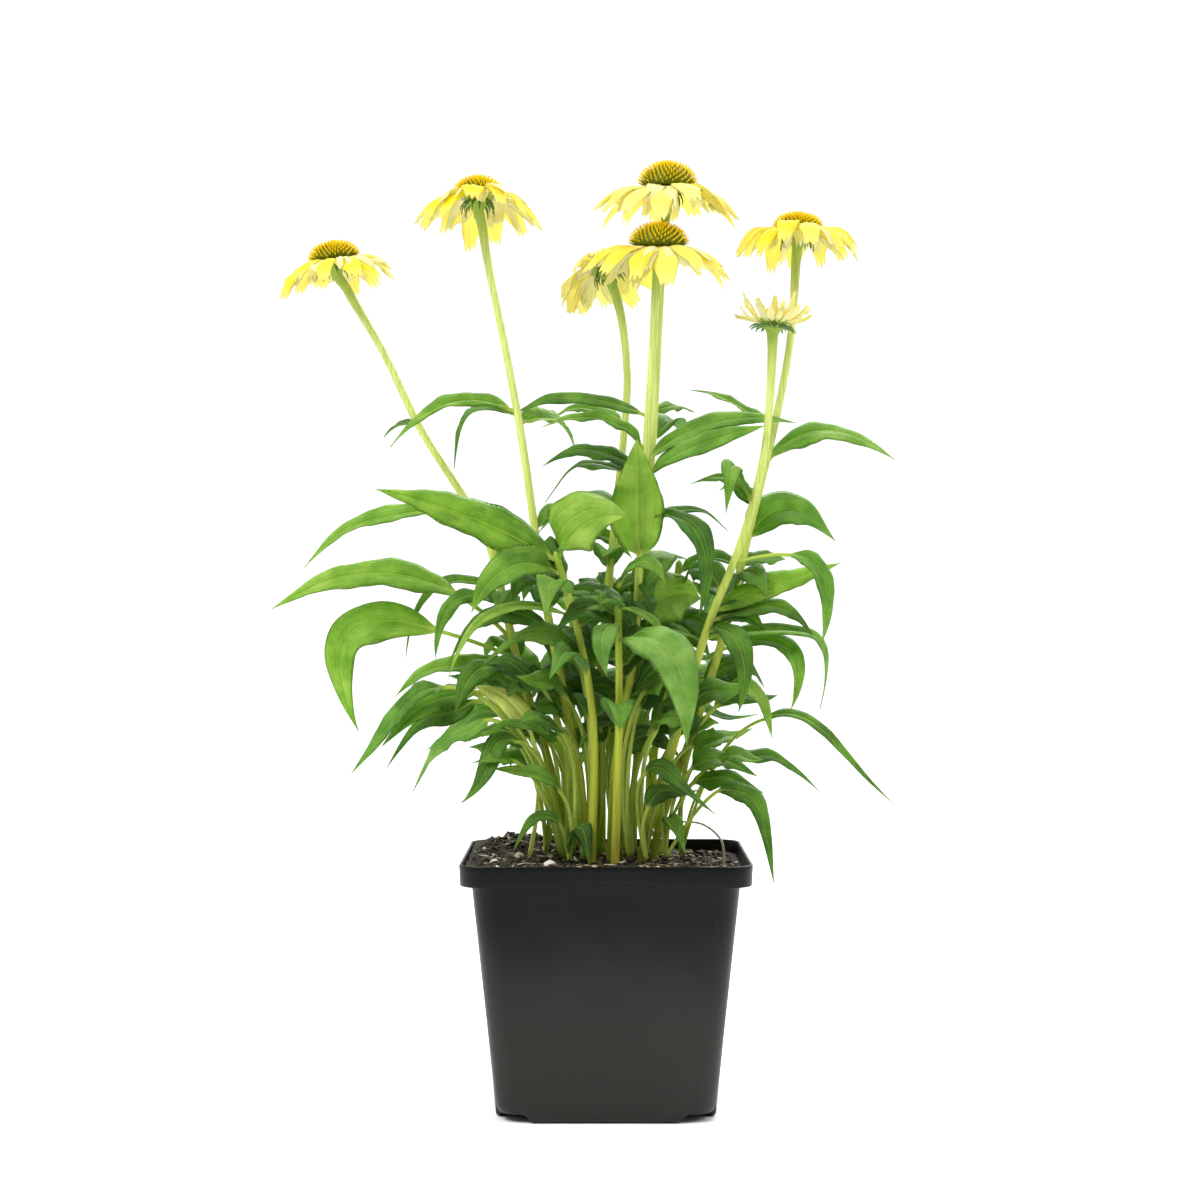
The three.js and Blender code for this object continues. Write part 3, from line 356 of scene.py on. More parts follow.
def soil_height(x, y):
    """The soil's broad surface: a slope, a Gaussian heap and two crossed waves, kept above SOIL_LEAST."""
    far = (x - HEAP["x"]) ** 2 + (y - HEAP["y"]) ** 2
    heap = HEAP["high"] * np.exp(-far / (2 * HEAP["wide"] ** 2))
    rough = 1.1 * np.sin(0.21 * x + 1) * np.cos(0.17 * y) + 0.7 * np.sin(0.43 * x - 0.31 * y)
    return np.maximum(SOIL_LEAST, SOIL_TOP - SOIL_FALL * x + heap + rough)


def clods(x, y, spacing, seed):
    """Smooth random hills between -1 and 1: random heights on a square net, eased between its knots."""
    net = np.random.default_rng(seed).uniform(-1, 1, (CLOD_NET, CLOD_NET))
    middle = CLOD_NET // 2 - 1
    u, v = x / spacing + middle, y / spacing + middle
    i, j = np.floor(u).astype(int), np.floor(v).astype(int)
    s, t = ease(0, 1, u - i), ease(0, 1, v - j)
    low = net[i, j] * (1 - s) + net[i + 1, j] * s
    high = net[i, j + 1] * (1 - s) + net[i + 1, j + 1] * s
    return low * (1 - t) + high * t


def ground(x, y):
    """Height of the finished soil: its broad surface under clods of three sizes that fade at the rim."""
    inside = 1 - ease(0.9, 1.0, np.maximum(np.abs(x), np.abs(y)) / SOIL_HALF)
    small = sum(high * clods(x, y, spacing, seed) for seed, (spacing, high) in enumerate(CLODS, 1))
    return soil_height(x, y) + small * inside


def soil_rings():
    """The root ball's outside from its bed to the rim, then its surface in rings that shrink inwards."""
    outside = (WALL_FOOT_HALF - 4.4, SOIL_BED), (WALL_TOP_HALF - 2, SOIL_LEDGE), (SOIL_HALF - 0.1, SOIL_LEDGE)
    rings = [square_ring(half, height) for half, height in outside]
    for half in SOIL_HALF * np.linspace(1, 0.012, SOIL_RINGS):
        ring = square_ring(half, 0)
        ring[:, 2] = ground(ring[:, 0], ring[:, 1])
        rings.append(ring)
    return np.array(rings)[None]


def left_of(ways):
    """Vectors turned a quarter to the left about the upright axis."""
    return stacked(-ways[..., 1], ways[..., 0], ways[..., 2])


def lumps(centres, sizes, rough, rng, lie):
    """Irregular grains: ellipsoids in four rings of six points, each point pushed in or out by a share of
    the size. They are turned any way round and tipped by up to lie. Their grain attribute is random."""
    count = len(centres)
    along = GRAIN_RINGS * np.pi
    turn = np.arange(6) * np.pi / 3
    across = np.sin(along)[:, None]
    ball = stacked(-np.cos(along)[:, None], across * np.cos(turn), across * np.sin(turn))
    shape = ball * (1 + rng.uniform(-rough, rough, (count, 4, 6, 1))) * sizes[:, None, None]
    yaw = rng.uniform(0, 2 * np.pi, count)
    tip = rng.uniform(-lie, lie, count)
    ahead = spokes(yaw) * np.cos(tip)[:, None] + UP * np.sin(tip)[:, None]
    aside = left_of(spokes(yaw))
    axes = np.stack([ahead, aside, np.cross(ahead, aside)], 1)
    rings = np.einsum("nrsk,nkd->nrsd", shape, axes) + centres[:, None, None]
    return skin(rings, grain=rng.uniform(0, 1, (count, 1, 1, 3)))


def scattered(count, sink, sizes, rng):
    """Random places on the soil, their middles sunk by a share of their height, and their sizes. They keep
    their length from the pot's wall, and keep out of its corners by a tenth of (uv)^2 at (u, v)."""
    spot = rng.uniform(-1, 1, (2, count))
    size = rng.uniform(*sizes, (count, 3))
    x, y = spot * (SOIL_HALF - 1 - 1.25 * size[:, 0]) * (1 - 0.1 * (spot[0] * spot[1]) ** 2)
    return stacked(x, y, ground(x, y) + (0.5 - sink) * size[:, 2]), size


def soil_finish(name, *stops, rough=0.9):
    """Something that lies in soil: each grain's own shade from a ramp, blotched, with a gritty relief."""
    earth = Finish(name)
    own = earth.attribute("grain")[0]
    shade = earth.plus(earth.times(own, 0.7), earth.times(earth.noise(700, 4), 0.4))
    relief = earth.bump(earth.noise(1800, 4, 0.7), 0.35)
    return earth.done(earth.ramp(shade, *stops), rough, relief)


def peat():
    """Dark peat with paler crumbs and specks, and painted shade that makes it nearly black in its hollows."""
    earth = Finish("peat")
    crumbs = earth.add("TexVoronoi", {"Vector": earth.place, "Scale": 330.0}, out="Color")
    # painted shade in the hollows: the crumbs that sit lowest in the relief are also the darkest
    shade = earth.plus(earth.times(crumbs, 0.5), earth.times(earth.noise(120, 6, 0.7), 0.5))
    colour = earth.ramp(
        shade, (0.25, (0.003, 0.0024, 0.001)), (0.6, (0.02, 0.016, 0.006)), (0.88, (0.11, 0.092, 0.038))
    )
    relief = earth.bump(earth.plus(crumbs, earth.noise(900, 5, 0.7)), 1.1)
    return earth.done(colour, 0.95, relief)


draw = np.random.default_rng(11)
add_piece("soil_bed", [skin(soil_rings())], peat(), "soil")
crumb_tint = soil_finish(
    "peat_crumbs", (0.15, (0.004, 0.003, 0.001)), (0.65, (0.028, 0.019, 0.006)), (1.0, (0.18, 0.132, 0.048))
)
bark_tint = soil_finish(
    "bark", (0.25, (0.014, 0.009, 0.004)), (0.65, (0.09, 0.062, 0.026)), (0.95, (0.55, 0.46, 0.27)), rough=0.8
)
perlite_tint = soil_finish("perlite", (0.2, (0.5, 0.48, 0.4)), (0.8, (0.8, 0.78, 0.68)))
straw_tint = soil_finish("straw", (0.2, (0.34, 0.26, 0.12)), (0.8, (0.72, 0.64, 0.42)), rough=0.7)

# What is strewn over the soil: its slot and tint, how many grains, the share by which they are sunk, their
# least and greatest sizes, how rough they are, how far they tip, and large ones in places of their own.
LARGE = [[-52, -8, 4.4, 3.4, 3.2], [-33, -52, 4.6, 3.4, 3], [-66, -40, 3, 2.4, 2]]
LITTER = {
    "soil_crumbs": ("soil", crumb_tint, 1700, 0.35, ([0.5, 0.5, 0.4], [1.9, 1.6, 1.3]), 0.35, 1, []),
    "bark_chips": ("soil", bark_tint, 270, 0.1, ([1.4, 0.8, 0.4], [6.2, 2.5, 1.3]), 0.22, 0.45, []),
    "perlite_grains": ("soil", perlite_tint, 26, 0.2, ([0.8, 0.8, 0.6], [1.7, 1.5, 1.3]), 0.3, 0.3, LARGE),
    "straw_bits": ("straw", straw_tint, 150, 0, ([3, 0.3, 0.22], [10.5, 0.7, 0.5]), 0.12, 0.16, []),
}
for name, (slot, tint, count, sink, limits, rough, lie, large) in LITTER.items():
    places, sizes = scattered(count, sink, limits, draw)
    large = np.reshape(large, (-1, 5))
    x, y = large[:, 0], large[:, 1]
    places = np.concatenate([places, stacked(x, y, ground(x, y) + 1.8)])
    add_piece(name, [lumps(places, np.concatenate([sizes, large[:, 2:]]), rough, draw, lie)], tint)

# ---- Stems ----
# Seven flower stems and four leafy shoots rise from the crown. A stem is a ribbed green stalk about 5 mm
# thick, olive at the soil, paler further up and darker again on the neck, with short stiff hairs.

STEM_FOOT = 114
FOOT_RADIUS = 2.75
SLIM_RADIUS = 2.25
SLIM_FROM = 0.8  # share of its length from which a stem is slim
NECK = 14  # length of the neck under a head
NECK_SWELL = 0.7
NECK_DEPTHS = (60, 4)  # depths below the head between which it swells
# Heights and radii of the cup that carries a head.
CUP = np.array([[-8, 3.3], [-6, 3.7], [-4, 4.7], [-2, 6.3], [0, 8], [1.2, 9.1], [2.2, 9.2], [2.7, 8.6]])
BUD = np.array([[1.5, 2.1], [3, 1.3], [4, 0.3]])  # and of the bud over a shoot's top
STEM_STEP = 5.0  # height from ring to ring
STEM_SIDES = 36
RIBS = 9
RIB_DEPTH = 0.035
HAIRS = 420  # on each stem
HAIRS_FROM = 150
HAIR_LENGTH = (0.5, 1.1)
HAIR_RADII = (0.11, 0.015)  # at its root and its tip
HAIR_LEAN = 0.45
SPIRAL_TURN = 137.5  # degrees from one leaf to the next where they stand in a spiral
SPIRAL_LOW = 232  # height of the lowest leaf on the shoots at the back
RIGHT = np.array([1.0, 0, 0])

# A stem's knots are [x, y, z], from the top down. A leaf is [height on its stem, turn in degrees about the
# stem (0 is right, 90 is back), reach, lift, arch, width]. It may add how far its bow leans to the tip, the
# share of its length that is stalk, and a roll in degrees. A head has its lean to the right and back, the
# cone's radius and height, the count, reach, drop, bow and width of its petals, and how far its bracts
# stand out and hang down.
FLOWER_STEMS = [
    dict(
        knots=[
            [31.8, -5, 515], [28.2, -5.4, 456], [24.7, -5.9, 401], [20.6, -6.5, 328], [15.5, -7, 262],
            [6, -7.5, 207], [3, -8, 153], [3, -8, 112],
        ],
        head=dict(lean=[1, -4], cone=18.5, dome=14, rays=13, reach=45, drop=19, bow=6, width=12),
        leaves=[
            [328, -100, 14, 72, -3, 36], [298, 12, 50, 30, 3, 34, 0, 0, 25], [414, 172, 84, 6, 9, 13],
            [386.5, 8, 93, 26, 12, 17], [377, -8, 73, 31.5, 5, 18], [393, 195, 64, 15, 12, 17],
            [378, 165, 64, 8, 12, 16], [374, 150, 70, -6, 16, 16], [355, -35, 40, -59, 25, 18],
            [352, 15, 54, -3, 8, 10], [288, -75, 26, 12, 12, 22], [262, -150, 44, 6, 14, 18],
            [306, 75, 50, 6, 14, 26], [270, 22, 46, 8, 12, 22],
        ],
    ),
    dict(
        knots=[
            [-165.5, 15, 509.5], [-157.4, 15, 492], [-136, 14.6, 455], [-112.9, 14.2, 407.5],
            [-87.8, 13.9, 368], [-72.7, 13.7, 342.7], [-52.3, 13, 260], [-37, 12.6, 212], [-22, 12, 150],
            [-22, 12, 112],
        ],
        head=dict(lean=[-9, -2], cone=16, dome=11, rays=12, reach=37, drop=15, bow=5, width=11),
        leaves=[
            [279, 185, 146, 21, 30, 27, 0, 0.25], [268, 183, 96, -43, 56, 30, 0.5, 0.2, -22],
            [361, 175, 103, -36, 12, 17], [310, 170, 60, -37, 22, 12], [300, 200, 44, -30, 20, 11],
            [265, 190, 75, -18, 8, 18], [410, 150, 26, -6, 4, 13], [330, 60, 60, 10, 10, 20],
            [240, 150, 60, -6, 18, 20], [248, -140, 54, -10, 20, 16, 0.1, 0.2],
        ],
    ),
    dict(
        knots=[
            [-77, -2, 546], [-71.8, -2, 510], [-59.7, -2, 450], [-50, -2, 395.5], [-36.7, -2, 303.6],
            [-24, -2, 240], [-15, -2, 189], [-13, -2, 150], [-13, -2, 112],
        ],
        head=dict(lean=[0, 11], cone=15, dome=11, rays=13, reach=38, drop=18, bow=6, width=11),
        leaves=[
            [417, 190, 77, -20, 15, 17], [415, 150, 46, -28, 20, 16], [410, 40, 45, -15, 12, 24],
            [330, 110, 56, -4, 14, 20], [262, 95, 60, 4, 18, 22], [300, -120, 40, 4, 14, 20],
            [285, 168, 62, -10, 18, 20], [346, 20, 40, 10, 8, 18],
        ],
    ),
    dict(
        knots=[
            [38, 25, 556], [33.4, 23, 488], [29.6, 21, 414], [24, 18.4, 340], [14.8, 15, 242.5],
            [8, 12, 151], [8, 12, 112],
        ],
        head=dict(lean=[1, -4], cone=18.5, dome=15, rays=13, reach=47, drop=19, bow=6, width=12),
        leaves=[
            [418, 40, 34, 4, 3, 13], [400, 62, 60, 5, 12, 20], [350, 108, 70, -5, 18, 23],
            [292, 48, 72, 10, 18, 28], [258, 82, 78, 0, 24, 30], [280, 150, 60, 0, 18, 26],
        ],
    ),
    dict(
        knots=[
            [0, 38, 509], [8.6, 37, 484], [13.2, 35.4, 446], [12, 34, 415], [5.8, 31, 353],
            [-3.5, 27, 254], [-6, 22, 150], [-6, 22, 112],
        ],
        head=dict(lean=[-22, 22], cone=12, dome=8, rays=13, reach=37, drop=13, bow=5, width=11),
        leaves=[
            [410, 170, 46, 6, 9, 17], [350, 125, 75, 0, 18, 25], [300, 78, 80, -12, 20, 28],
            [262, 160, 84, 4, 20, 28], [322, -100, 26, 18, 8, 24],
        ],
    ),
    dict(
        knots=[
            [116.8, 10, 527], [112.3, 10.5, 461], [102, 11, 406], [89.8, 11.7, 355.4], [74.6, 12.4, 291.4],
            [63.6, 12.8, 255], [51.4, 13.2, 218], [38, 13.6, 181.5], [30, 14, 151], [30, 14, 112],
        ],
        head=dict(lean=[1, 2], cone=15.5, dome=10, rays=13, reach=37, drop=17, bow=8, width=11),
        leaves=[
            [387, 0, 79, 2, 19, 19, -0.12], [408, 165, 52, 26, 3, 13], [339, -10, 56, 18, 20, 26, -0.1],
            [324, 20, 30, 5, 3, 15], [273, -25, 46, -35, 28, 13, 0.3], [279, 15, 53, -19, 14, 12],
            [360, 120, 40, 14, 6, 15], [300, 105, 60, -10, 18, 22], [236, -28, 48, -12, 22, 14, 0.1, 0.2],
        ],
    ),
    dict(
        knots=[
            [100.7, -10, 470], [98.5, -9.2, 421.5], [94.4, -8.6, 387], [82.6, -7.7, 341.5], [62.8, -6.8, 291],
            [49.5, -6, 249], [39.9, -5.3, 213], [29.7, -4.7, 183], [22, -4, 152], [22, -4, 112],
        ],
        head=dict(lean=[4, 0], cone=8, dome=6, rays=11, reach=20, drop=-13, bow=-1, width=7,
                  bracts=[14.5, 3]),
        leaves=[
            [361, -135, 24, -6, 26, 15], [296, 5, 78, 30, 2, 19], [361, 150, 42, 14, 10, 12],
            [325.6, -15, 54, -43, 30, 16, 0.1, 0.3], [290, -5, 62, -8.5, 14.5, 16, 0.15],
            [285, -60, 35, -45, 22, 17], [280, 0, 70, -41, 35, 15, 0.3], [244, 170, 46, 14, 12, 18],
        ],
    ),
]

LEAFY_SHOOTS = [
    dict(
        knots=[[7.1, -34, 301], [7.8, -31.8, 244], [6.6, -29.5, 185], [5.4, -28.3, 152], [5, -28, 112]],
        leaves=[
            [279, -50, 60, -58.5, 28, 33, -0.1], [299, -10, 22, -36, 14, 8], [298, -125, 18, 7, 4, 19],
            [294, 170, 26, 4, 5, 16], [262, 40, 48, 12, 12, 20], [289, -115, 16, -30, 16, 15],
        ],
    ),
    dict(
        knots=[
            [-29, -30, 328.5], [-17.7, -28.7, 289], [-10.6, -27.6, 256], [-7.1, -26.5, 220],
            [-8.3, -24.2, 150], [-8.3, -24.2, 112],
        ],
        leaves=[
            [326, 183, 108, 44, 5, 28], [327, -25, 46, 26, 10, 36, 0, 0, -20], [318, 205, 58, -21, 16, 22],
            [293, 200, 78, -34, 23, 9], [322, 150, 40, 14, 8, 22], [306, -110, 30, -12, 16, 24],
            [262, 175, 62, 4, 20, 17],
        ],
    ),
]


def spiral_shoot(knots, count, start):
    """A shoot at the back, whose leaves stand in a spiral and shorten to the top."""
    step = (knots[0][2] - 5 - SPIRAL_LOW) / (count - 1)
    return dict(knots=knots, leaves=[
        (SPIRAL_LOW + step * k, start + SPIRAL_TURN * k, 66 - 4 * k, 12 - 3 * k, 16 - k, 30 - 2 * k)
        for k in range(count)
    ])


LEAFY_SHOOTS += [
    spiral_shoot([[-30, 64, 340], [-18, 60, 270], [-6, 52, 190], [-4, 47, 150], [-4, 47, 112]], 6, 35),
    spiral_shoot([[46, 62, 325], [38, 58, 260], [28, 50, 190], [24, 46, 150], [24, 46, 112]], 6, 20),
]


def unit(vectors):
    """Vectors at length 1."""
    return vectors / np.linalg.norm(vectors, axis=-1, keepdims=True)


def stem_points(knots, heights):
    """A stem's middle at heights: a cubic Hermite curve through its knots, its slope at each knot that of
    the line between the knots on either side."""
    up = np.array(knots[::-1], float)
    before = np.maximum(np.arange(len(up)) - 1, 0)
    after = np.minimum(np.arange(len(up)) + 1, len(up) - 1)
    slope = (up[after, :2] - up[before, :2]) / (up[after, 2:] - up[before, 2:])
    i = np.clip(np.searchsorted(up[:, 2], heights) - 1, 0, len(up) - 2)
    rise = (up[i + 1, 2] - up[i, 2])[:, None]
    s = (heights - up[i, 2])[:, None] / rise
    level = (
        (2 * s**3 - 3 * s**2 + 1) * up[i, :2] + (s**3 - 2 * s**2 + s) * rise * slope[i]
        + (3 * s**2 - 2 * s**3) * up[i + 1, :2] + (s**3 - s**2) * rise * slope[i + 1]
    )
    return np.column_stack([level, heights])


def oval(sides, wide, high):
    """Points round an ellipse about 0, of which wide and high are the half axes."""
    turn = np.arange(sides)[:, None] * 2 * np.pi / sides
    return np.cos(turn) * wide[..., None, :] + np.sin(turn) * high[..., None, :]


def tube(middles, radii, sides, ribs, tone=0.5):
    """A ribbed tube: round each middle a ring square to the path, whose radius swells at each rib and
    shrinks between them by a share. Its spot attribute is its depth below its top, height and tone."""
    way = unit(np.gradient(middles, axis=0))
    across = unit(RIGHT - way * way[:, :1])
    swell = 1 + ribs * np.cos(RIBS * np.arange(sides)[:, None] * 2 * np.pi / sides)
    rings = middles[:, None] + radii[:, None, None] * swell * oval(sides, across, np.cross(way, across))
    spot = stacked(middles[-1, 2] - middles[:, 2], middles[:, 2], tone)
    return skin(rings[None], spot=spot[None, :, None])


def head_frame(stem):
    """A flower head's place and its three axes, right, back and up, which lean by its two angles."""
    lean = np.tan(np.radians(stem["head"]["lean"]))
    axis = unit(np.append(lean, 1.0))
    right = unit(RIGHT - axis * axis[0])
    return np.array(stem["knots"][0], float), np.array([right, np.cross(axis, right), axis])


def in_frame(head, points):
    """Points given along a head's three axes, put in their place."""
    top, axes = head
    return points @ axes + top


def slimmed(heights, top, slim):
    """A stem's radii at heights: they shrink evenly from its foot's to a slim one, up to SLIM_FROM."""
    share = np.minimum(1, (heights - STEM_FOOT) / (SLIM_FROM * (top - STEM_FOOT)))
    return FOOT_RADIUS + (slim - FOOT_RADIUS) * share


def stalk(stem, tone):
    """A flower stem up to its neck, which swells, and on through the cup that carries the head."""
    top = stem["knots"][0][2]
    heights = np.arange(STEM_FOOT, top - NECK, STEM_STEP)
    radii = slimmed(heights, heights[-1], SLIM_RADIUS) + NECK_SWELL * ease(*NECK_DEPTHS, top - heights)
    ends = in_frame(head_frame(stem), UP * CUP[:, :1])
    middles = np.concatenate([stem_points(stem["knots"], heights), ends])
    return tube(middles, np.append(radii, CUP[:, 1]), STEM_SIDES, RIB_DEPTH, tone)


def shoot_stem(stem, tone):
    """A leafy shoot's stem, which ends in a small bud."""
    top = stem["knots"][0][2]
    heights = np.append(np.arange(STEM_FOOT, top, STEM_STEP), top + BUD[:, 0])
    radii = slimmed(heights, top, SLIM_RADIUS - 0.2)
    radii[-3:] = BUD[:, 1]
    return tube(stem_points(stem["knots"], heights), radii, STEM_SIDES, RIB_DEPTH, tone)


def stem_finish():
    """Green rind: brown at the soil, olive and flushed with tan low down, pale yellow-green above, darker
    green on the neck, with long streaks."""
    rind = Finish("stem_rind")
    depth, height, tone = rind.attribute("spot")
    streaks = rind.streaks((900, 900, 30), 5)
    cloud = rind.times(rind.noise(45, 3), 34)
    colour = rind.ramp(
        rind.spread(rind.plus(height, cloud), 150, 500),
        (0.0, (0.24, 0.22, 0.022)), (0.03, (0.39, 0.43, 0.03)), (0.2, (0.46, 0.52, 0.05)),
        (0.5, (0.56, 0.64, 0.12)), (1.0, (0.64, 0.705, 0.23)),
    )
    colour = rind.mix(rind.spread(depth, 46, 2), colour, (0.2, 0.34, 0.018), 0.8)
    colour = rind.mix(rind.spread(streaks, 0.4, 0.7), colour, (0.24, 0.38, 0.03), 0.5)
    colour = rind.mix(tone, colour, (0.28, 0.42, 0.04), 0.3)
    flush = rind.spread(rind.streaks((260, 260, 14), 3), 0.42, 0.64, 0, 0.6)
    flush = rind.times(flush, rind.spread(height, 330, 180))
    colour = rind.mix(flush, colour, (0.3, 0.235, 0.03))
    return rind.done(colour, 0.6, rind.bump(streaks, 0.12), Specular_IOR_Level=0.22)


def hairs(stem, rng):
    """Short stiff hairs: thin pyramids of four sides that lean up and outwards from the rind."""
    top = stem["knots"][0][2] - (NECK if "head" in stem else 4)
    heights = rng.uniform(HAIRS_FROM, top, HAIRS)
    middles = stem_points(stem["knots"], heights)
    out = spokes(rng.uniform(0, 2 * np.pi, HAIRS))
    length = rng.uniform(*HAIR_LENGTH, HAIRS)[:, None]
    root = middles + out * (SLIM_RADIUS - 0.2)
    tip = root + (out + HAIR_LEAN * UP) * (length + 0.3)
    section = oval(4, left_of(out), UP)
    ends = zip((root, tip), HAIR_RADII)
    rings = np.stack([end[:, None] + radius * section for end, radius in ends], 1)
    return skin(rings, spot=stacked(60, heights, 0)[:, None, None])


rind = stem_finish()
draw = np.random.default_rng(23)
for i, stem in enumerate(FLOWER_STEMS, 1):
    add_piece(f"flower_stalk_{i}", [stalk(stem, 0.3 * draw.random())], rind, f"flower_stem_{i}")
for i, stem in enumerate(LEAFY_SHOOTS, 1):
    shoot = shoot_stem(stem, 0.3 + 0.4 * draw.random())
    add_piece(f"shoot_stalk_{i}", [shoot], rind, f"leafy_shoot_{i}")
bristles = [hairs(stem, draw) for stem in FLOWER_STEMS + LEAFY_SHOOTS[:2]]
add_piece("stem_hairs", bristles, rind)

# ---- Leaves ----
# Lance-shaped leaves stand singly on the stems and, on long stalks, in tufts at the soil. Each is folded
# along a pale midrib that stands out beneath, waves at its edges, and is rough with veins that arch from
# the midrib to the tip.

CROWN = 149  # height of the crowns
LEAF_ROLL = 40  # blades that face sideways roll their front edges down by this, and high on a stem by less
HIGH_LEAF = 370
HIGH_ROLL = 31
SHORT_STALK = 0.04  # share of its length that is stalk on a leaf that has none to speak of
FOLD_ROOT = 20  # degrees by which the blade is folded up from its midrib, at the root and at the tip
FOLD_TIP = 8
MOST_FOLD = 42
LEAF_WIDEN = 1.04
LEAF_STEPS = 42

# Between what a leaf's own shape is drawn: shares of its length by which it snakes, nods and hangs, degrees
# by which it turns along the blade and is set off at the root, its halves' shares of the width, how much
# more it folds, its edge's roll under, and how many waves run along an edge and how high they are.
SWAY = ([-0.035, -0.03, 0], [0.035, 0.03, 0.06])
TURNING = ([-34, -9], [34, 9])
HALF_SHARES = (0.88, 1.08)
FOLD_SHARES = (0.4, 2.1)
ROLL_UNDER = (0.04, 0.26)
WAVES = ([1.3, 0.06], [3.2, 0.19])

# The crowns at the soil: the place [x, y] of each, and its leaves [turn, reach, lift, arch, width, lean of
# the bow, share that is stalk].
CROWNS = [
    ([-26, -12], [
        [180, 127, 54, 70, 20, 0.3, 0.62], [172, 108, 58, 60, 19, 0.3, 0.6],
        [200, 93, 46, 56, 17, 0.35, 0.6], [215, 72, 42, 46, 15, 0.35, 0.6],
        [195, 50, 60, 38, 15, 0.2, 0.6], [168, 48, 122, 28, 22, 0.25, 0.65],
    ]),
    ([-36, 6], [
        [188, 100, 76, 56, 19, 0.28, 0.62], [165, 50, 58, 30, 14, 0, 0.55],
        [140, 70, 70, 30, 19, 0.2, 0.6], [176, 60, 112, 32, 22, 0.25, 0.65],
    ]),
    ([-28, 28], [
        [160, 90, 60, 45, 19, 0.25, 0.6], [120, 60, 80, 30, 19, 0.2, 0.6],
        [150, 50, 132, 26, 22, 0.2, 0.65],
    ]),
    ([36, -14], [
        [-15, 66, -9, 49, 15, 0.09, 0.35], [-50, 18, 5, 22, 12, 0, 0.3], [20, 60, 50, 30, 16, 0.2, 0.5],
        [-8, 50, 104, 28, 21, 0.25, 0.65],
    ]),
    ([46, 6], [
        [5, 131, 37, 65, 12, 0.04, 0.5], [-20, 52, 50, 30, 18, 0, 0.5], [20, 93, 42, 40, 12, 0, 0.5],
        [40, 60, 78, 25, 15, 0, 0.5], [10, 60, 100, 30, 20, 0.25, 0.65],
    ]),
    ([32, 32], [
        [20, 68, 90, 40, 15, 0, 0.55], [60, 70, 70, 35, 19, 0.2, 0.6], [100, 50, 90, 20, 19, 0.1, 0.6],
        [42, 50, 132, 26, 22, 0.2, 0.65],
    ]),
    ([8, 34], [
        [80, 70, 80, 35, 20, 0.2, 0.6], [120, 60, 60, 30, 19, 0.2, 0.6],
        [70, 40, 140, 24, 22, 0.2, 0.65],
    ]),
    ([-22, -28], [
        [190, 46, 55, 22, 14, 0, 0.5], [200, 35, 8, 24, 11, 0, 0.3], [-50, 19, 0, 20, 19],
        [-142, 36, 88, 26, 18, 0.3, 0.65],
    ]),
    ([24, -24], [
        [-15, 42, 30, 42, 18, 0.15, 0.5], [20, 34, 44, 18, 14, 0, 0.45],
        [-40, 36, 88, 24, 18, 0.3, 0.65],
    ]),
    ([-18, 46], [
        [130, 80, 56, 42, 20, 0.2, 0.6], [95, 60, 40, 36, 19, 0.2, 0.6],
        [110, 50, 122, 26, 22, 0.2, 0.65],
    ]),
    ([14, -17], [
        [-20, 34, 118, 22, 20, 0.25, 0.7], [60, 26, 130, 14, 18, 0.2, 0.7],
    ]),
    ([-12, -14], [
        [200, 44, 112, 26, 19, 0.25, 0.68], [125, 30, 134, 20, 18, 0.2, 0.7],
    ]),
    ([18, 22], [
        [12, 50, 118, 26, 22, 0.25, 0.65], [95, 30, 150, 16, 20, 0.2, 0.65],
        [-30, 40, 84, 22, 18, 0.25, 0.65],
    ]),
]

YELLOWED_LEAF = ([-46, -4], [[165, 34, 84, 24, 22, 0.25, 0.55]])

# How a solid's blade may have bent aside to clear its neighbours: turned about its root by degrees, its tip
# lifted by a share of its length, and shortened.
BEND_SIGNS = [(1, 0), (-1, 0), (0, 1), (0, -1), (1, 1), (-1, 1), (1, -1), (-1, -1)]
BENDS = np.array([(0, 0, 1)] + [
    (5 * step * turn, 0.07 * step * lift, reach)
    for reach in (1, 0.85, 0.7, 0.55) for step in range(1, 6) for turn, lift in BEND_SIGNS
])


def as_leaf(z, turn, reach, lift, arch, width, lean=0, stalk=0, roll=0):
    """A leaf's row as named values. Its roll is made up of what comes from facing sideways and its own."""
    side = (HIGH_ROLL if z > HIGH_LEAF else LEAF_ROLL) * np.cos(np.radians(turn))
    return dict(
        turn=turn, reach=reach, lift=lift, arch=arch, width=width, lean=lean,
        stalk=stalk or SHORT_STALK, roll=np.radians(side + roll),
    )


def midribs(root, blade, bends):
    """A blade's midrib in each of several bends, as the three control points of a parabola, and the level
    direction across it. The middle point lies half way along the chord, or nearer the tip by lean, and off
    it by twice the arch. A bend turns the blade about its root, lifts its tip by a share of its length and
    shortens the whole."""
    out = spokes(np.radians(blade["turn"] + bends[:, 0]))
    reach = (blade["reach"] * bends[:, 2])[:, None]
    lift = (blade["lift"] * bends[:, 2] + bends[:, 1] * np.hypot(blade["reach"], blade["lift"]))[:, None]
    chord = reach * out + lift * UP
    over = unit(reach * UP - lift * out)
    middle = root + (0.5 + blade["lean"]) * chord + over * 2 * blade["arch"] * bends[:, 2:]
    curves = np.stack([np.broadcast_to(root, chord.shape), middle, root + chord], 1)
    return curves, left_of(out)


def node_points(node):
    """The distinct corners of a CAD node, in millimetres."""
    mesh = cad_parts[node].data
    flat = np.empty(3 * len(mesh.vertices), np.float32)
    mesh.vertices.foreach_get("co", flat)
    return np.unique(np.round(flat.reshape(-1, 3) / MM, 3), axis=0)


def nearest(corners, wanted):
    """Which of several wanted points lies on a corner of a node to half a millimetre, or None."""
    apart = np.linalg.norm(corners[:, None] - wanted, axis=-1).min(axis=0)
    return int(apart.argmin()) if apart.min() < 0.5 else None


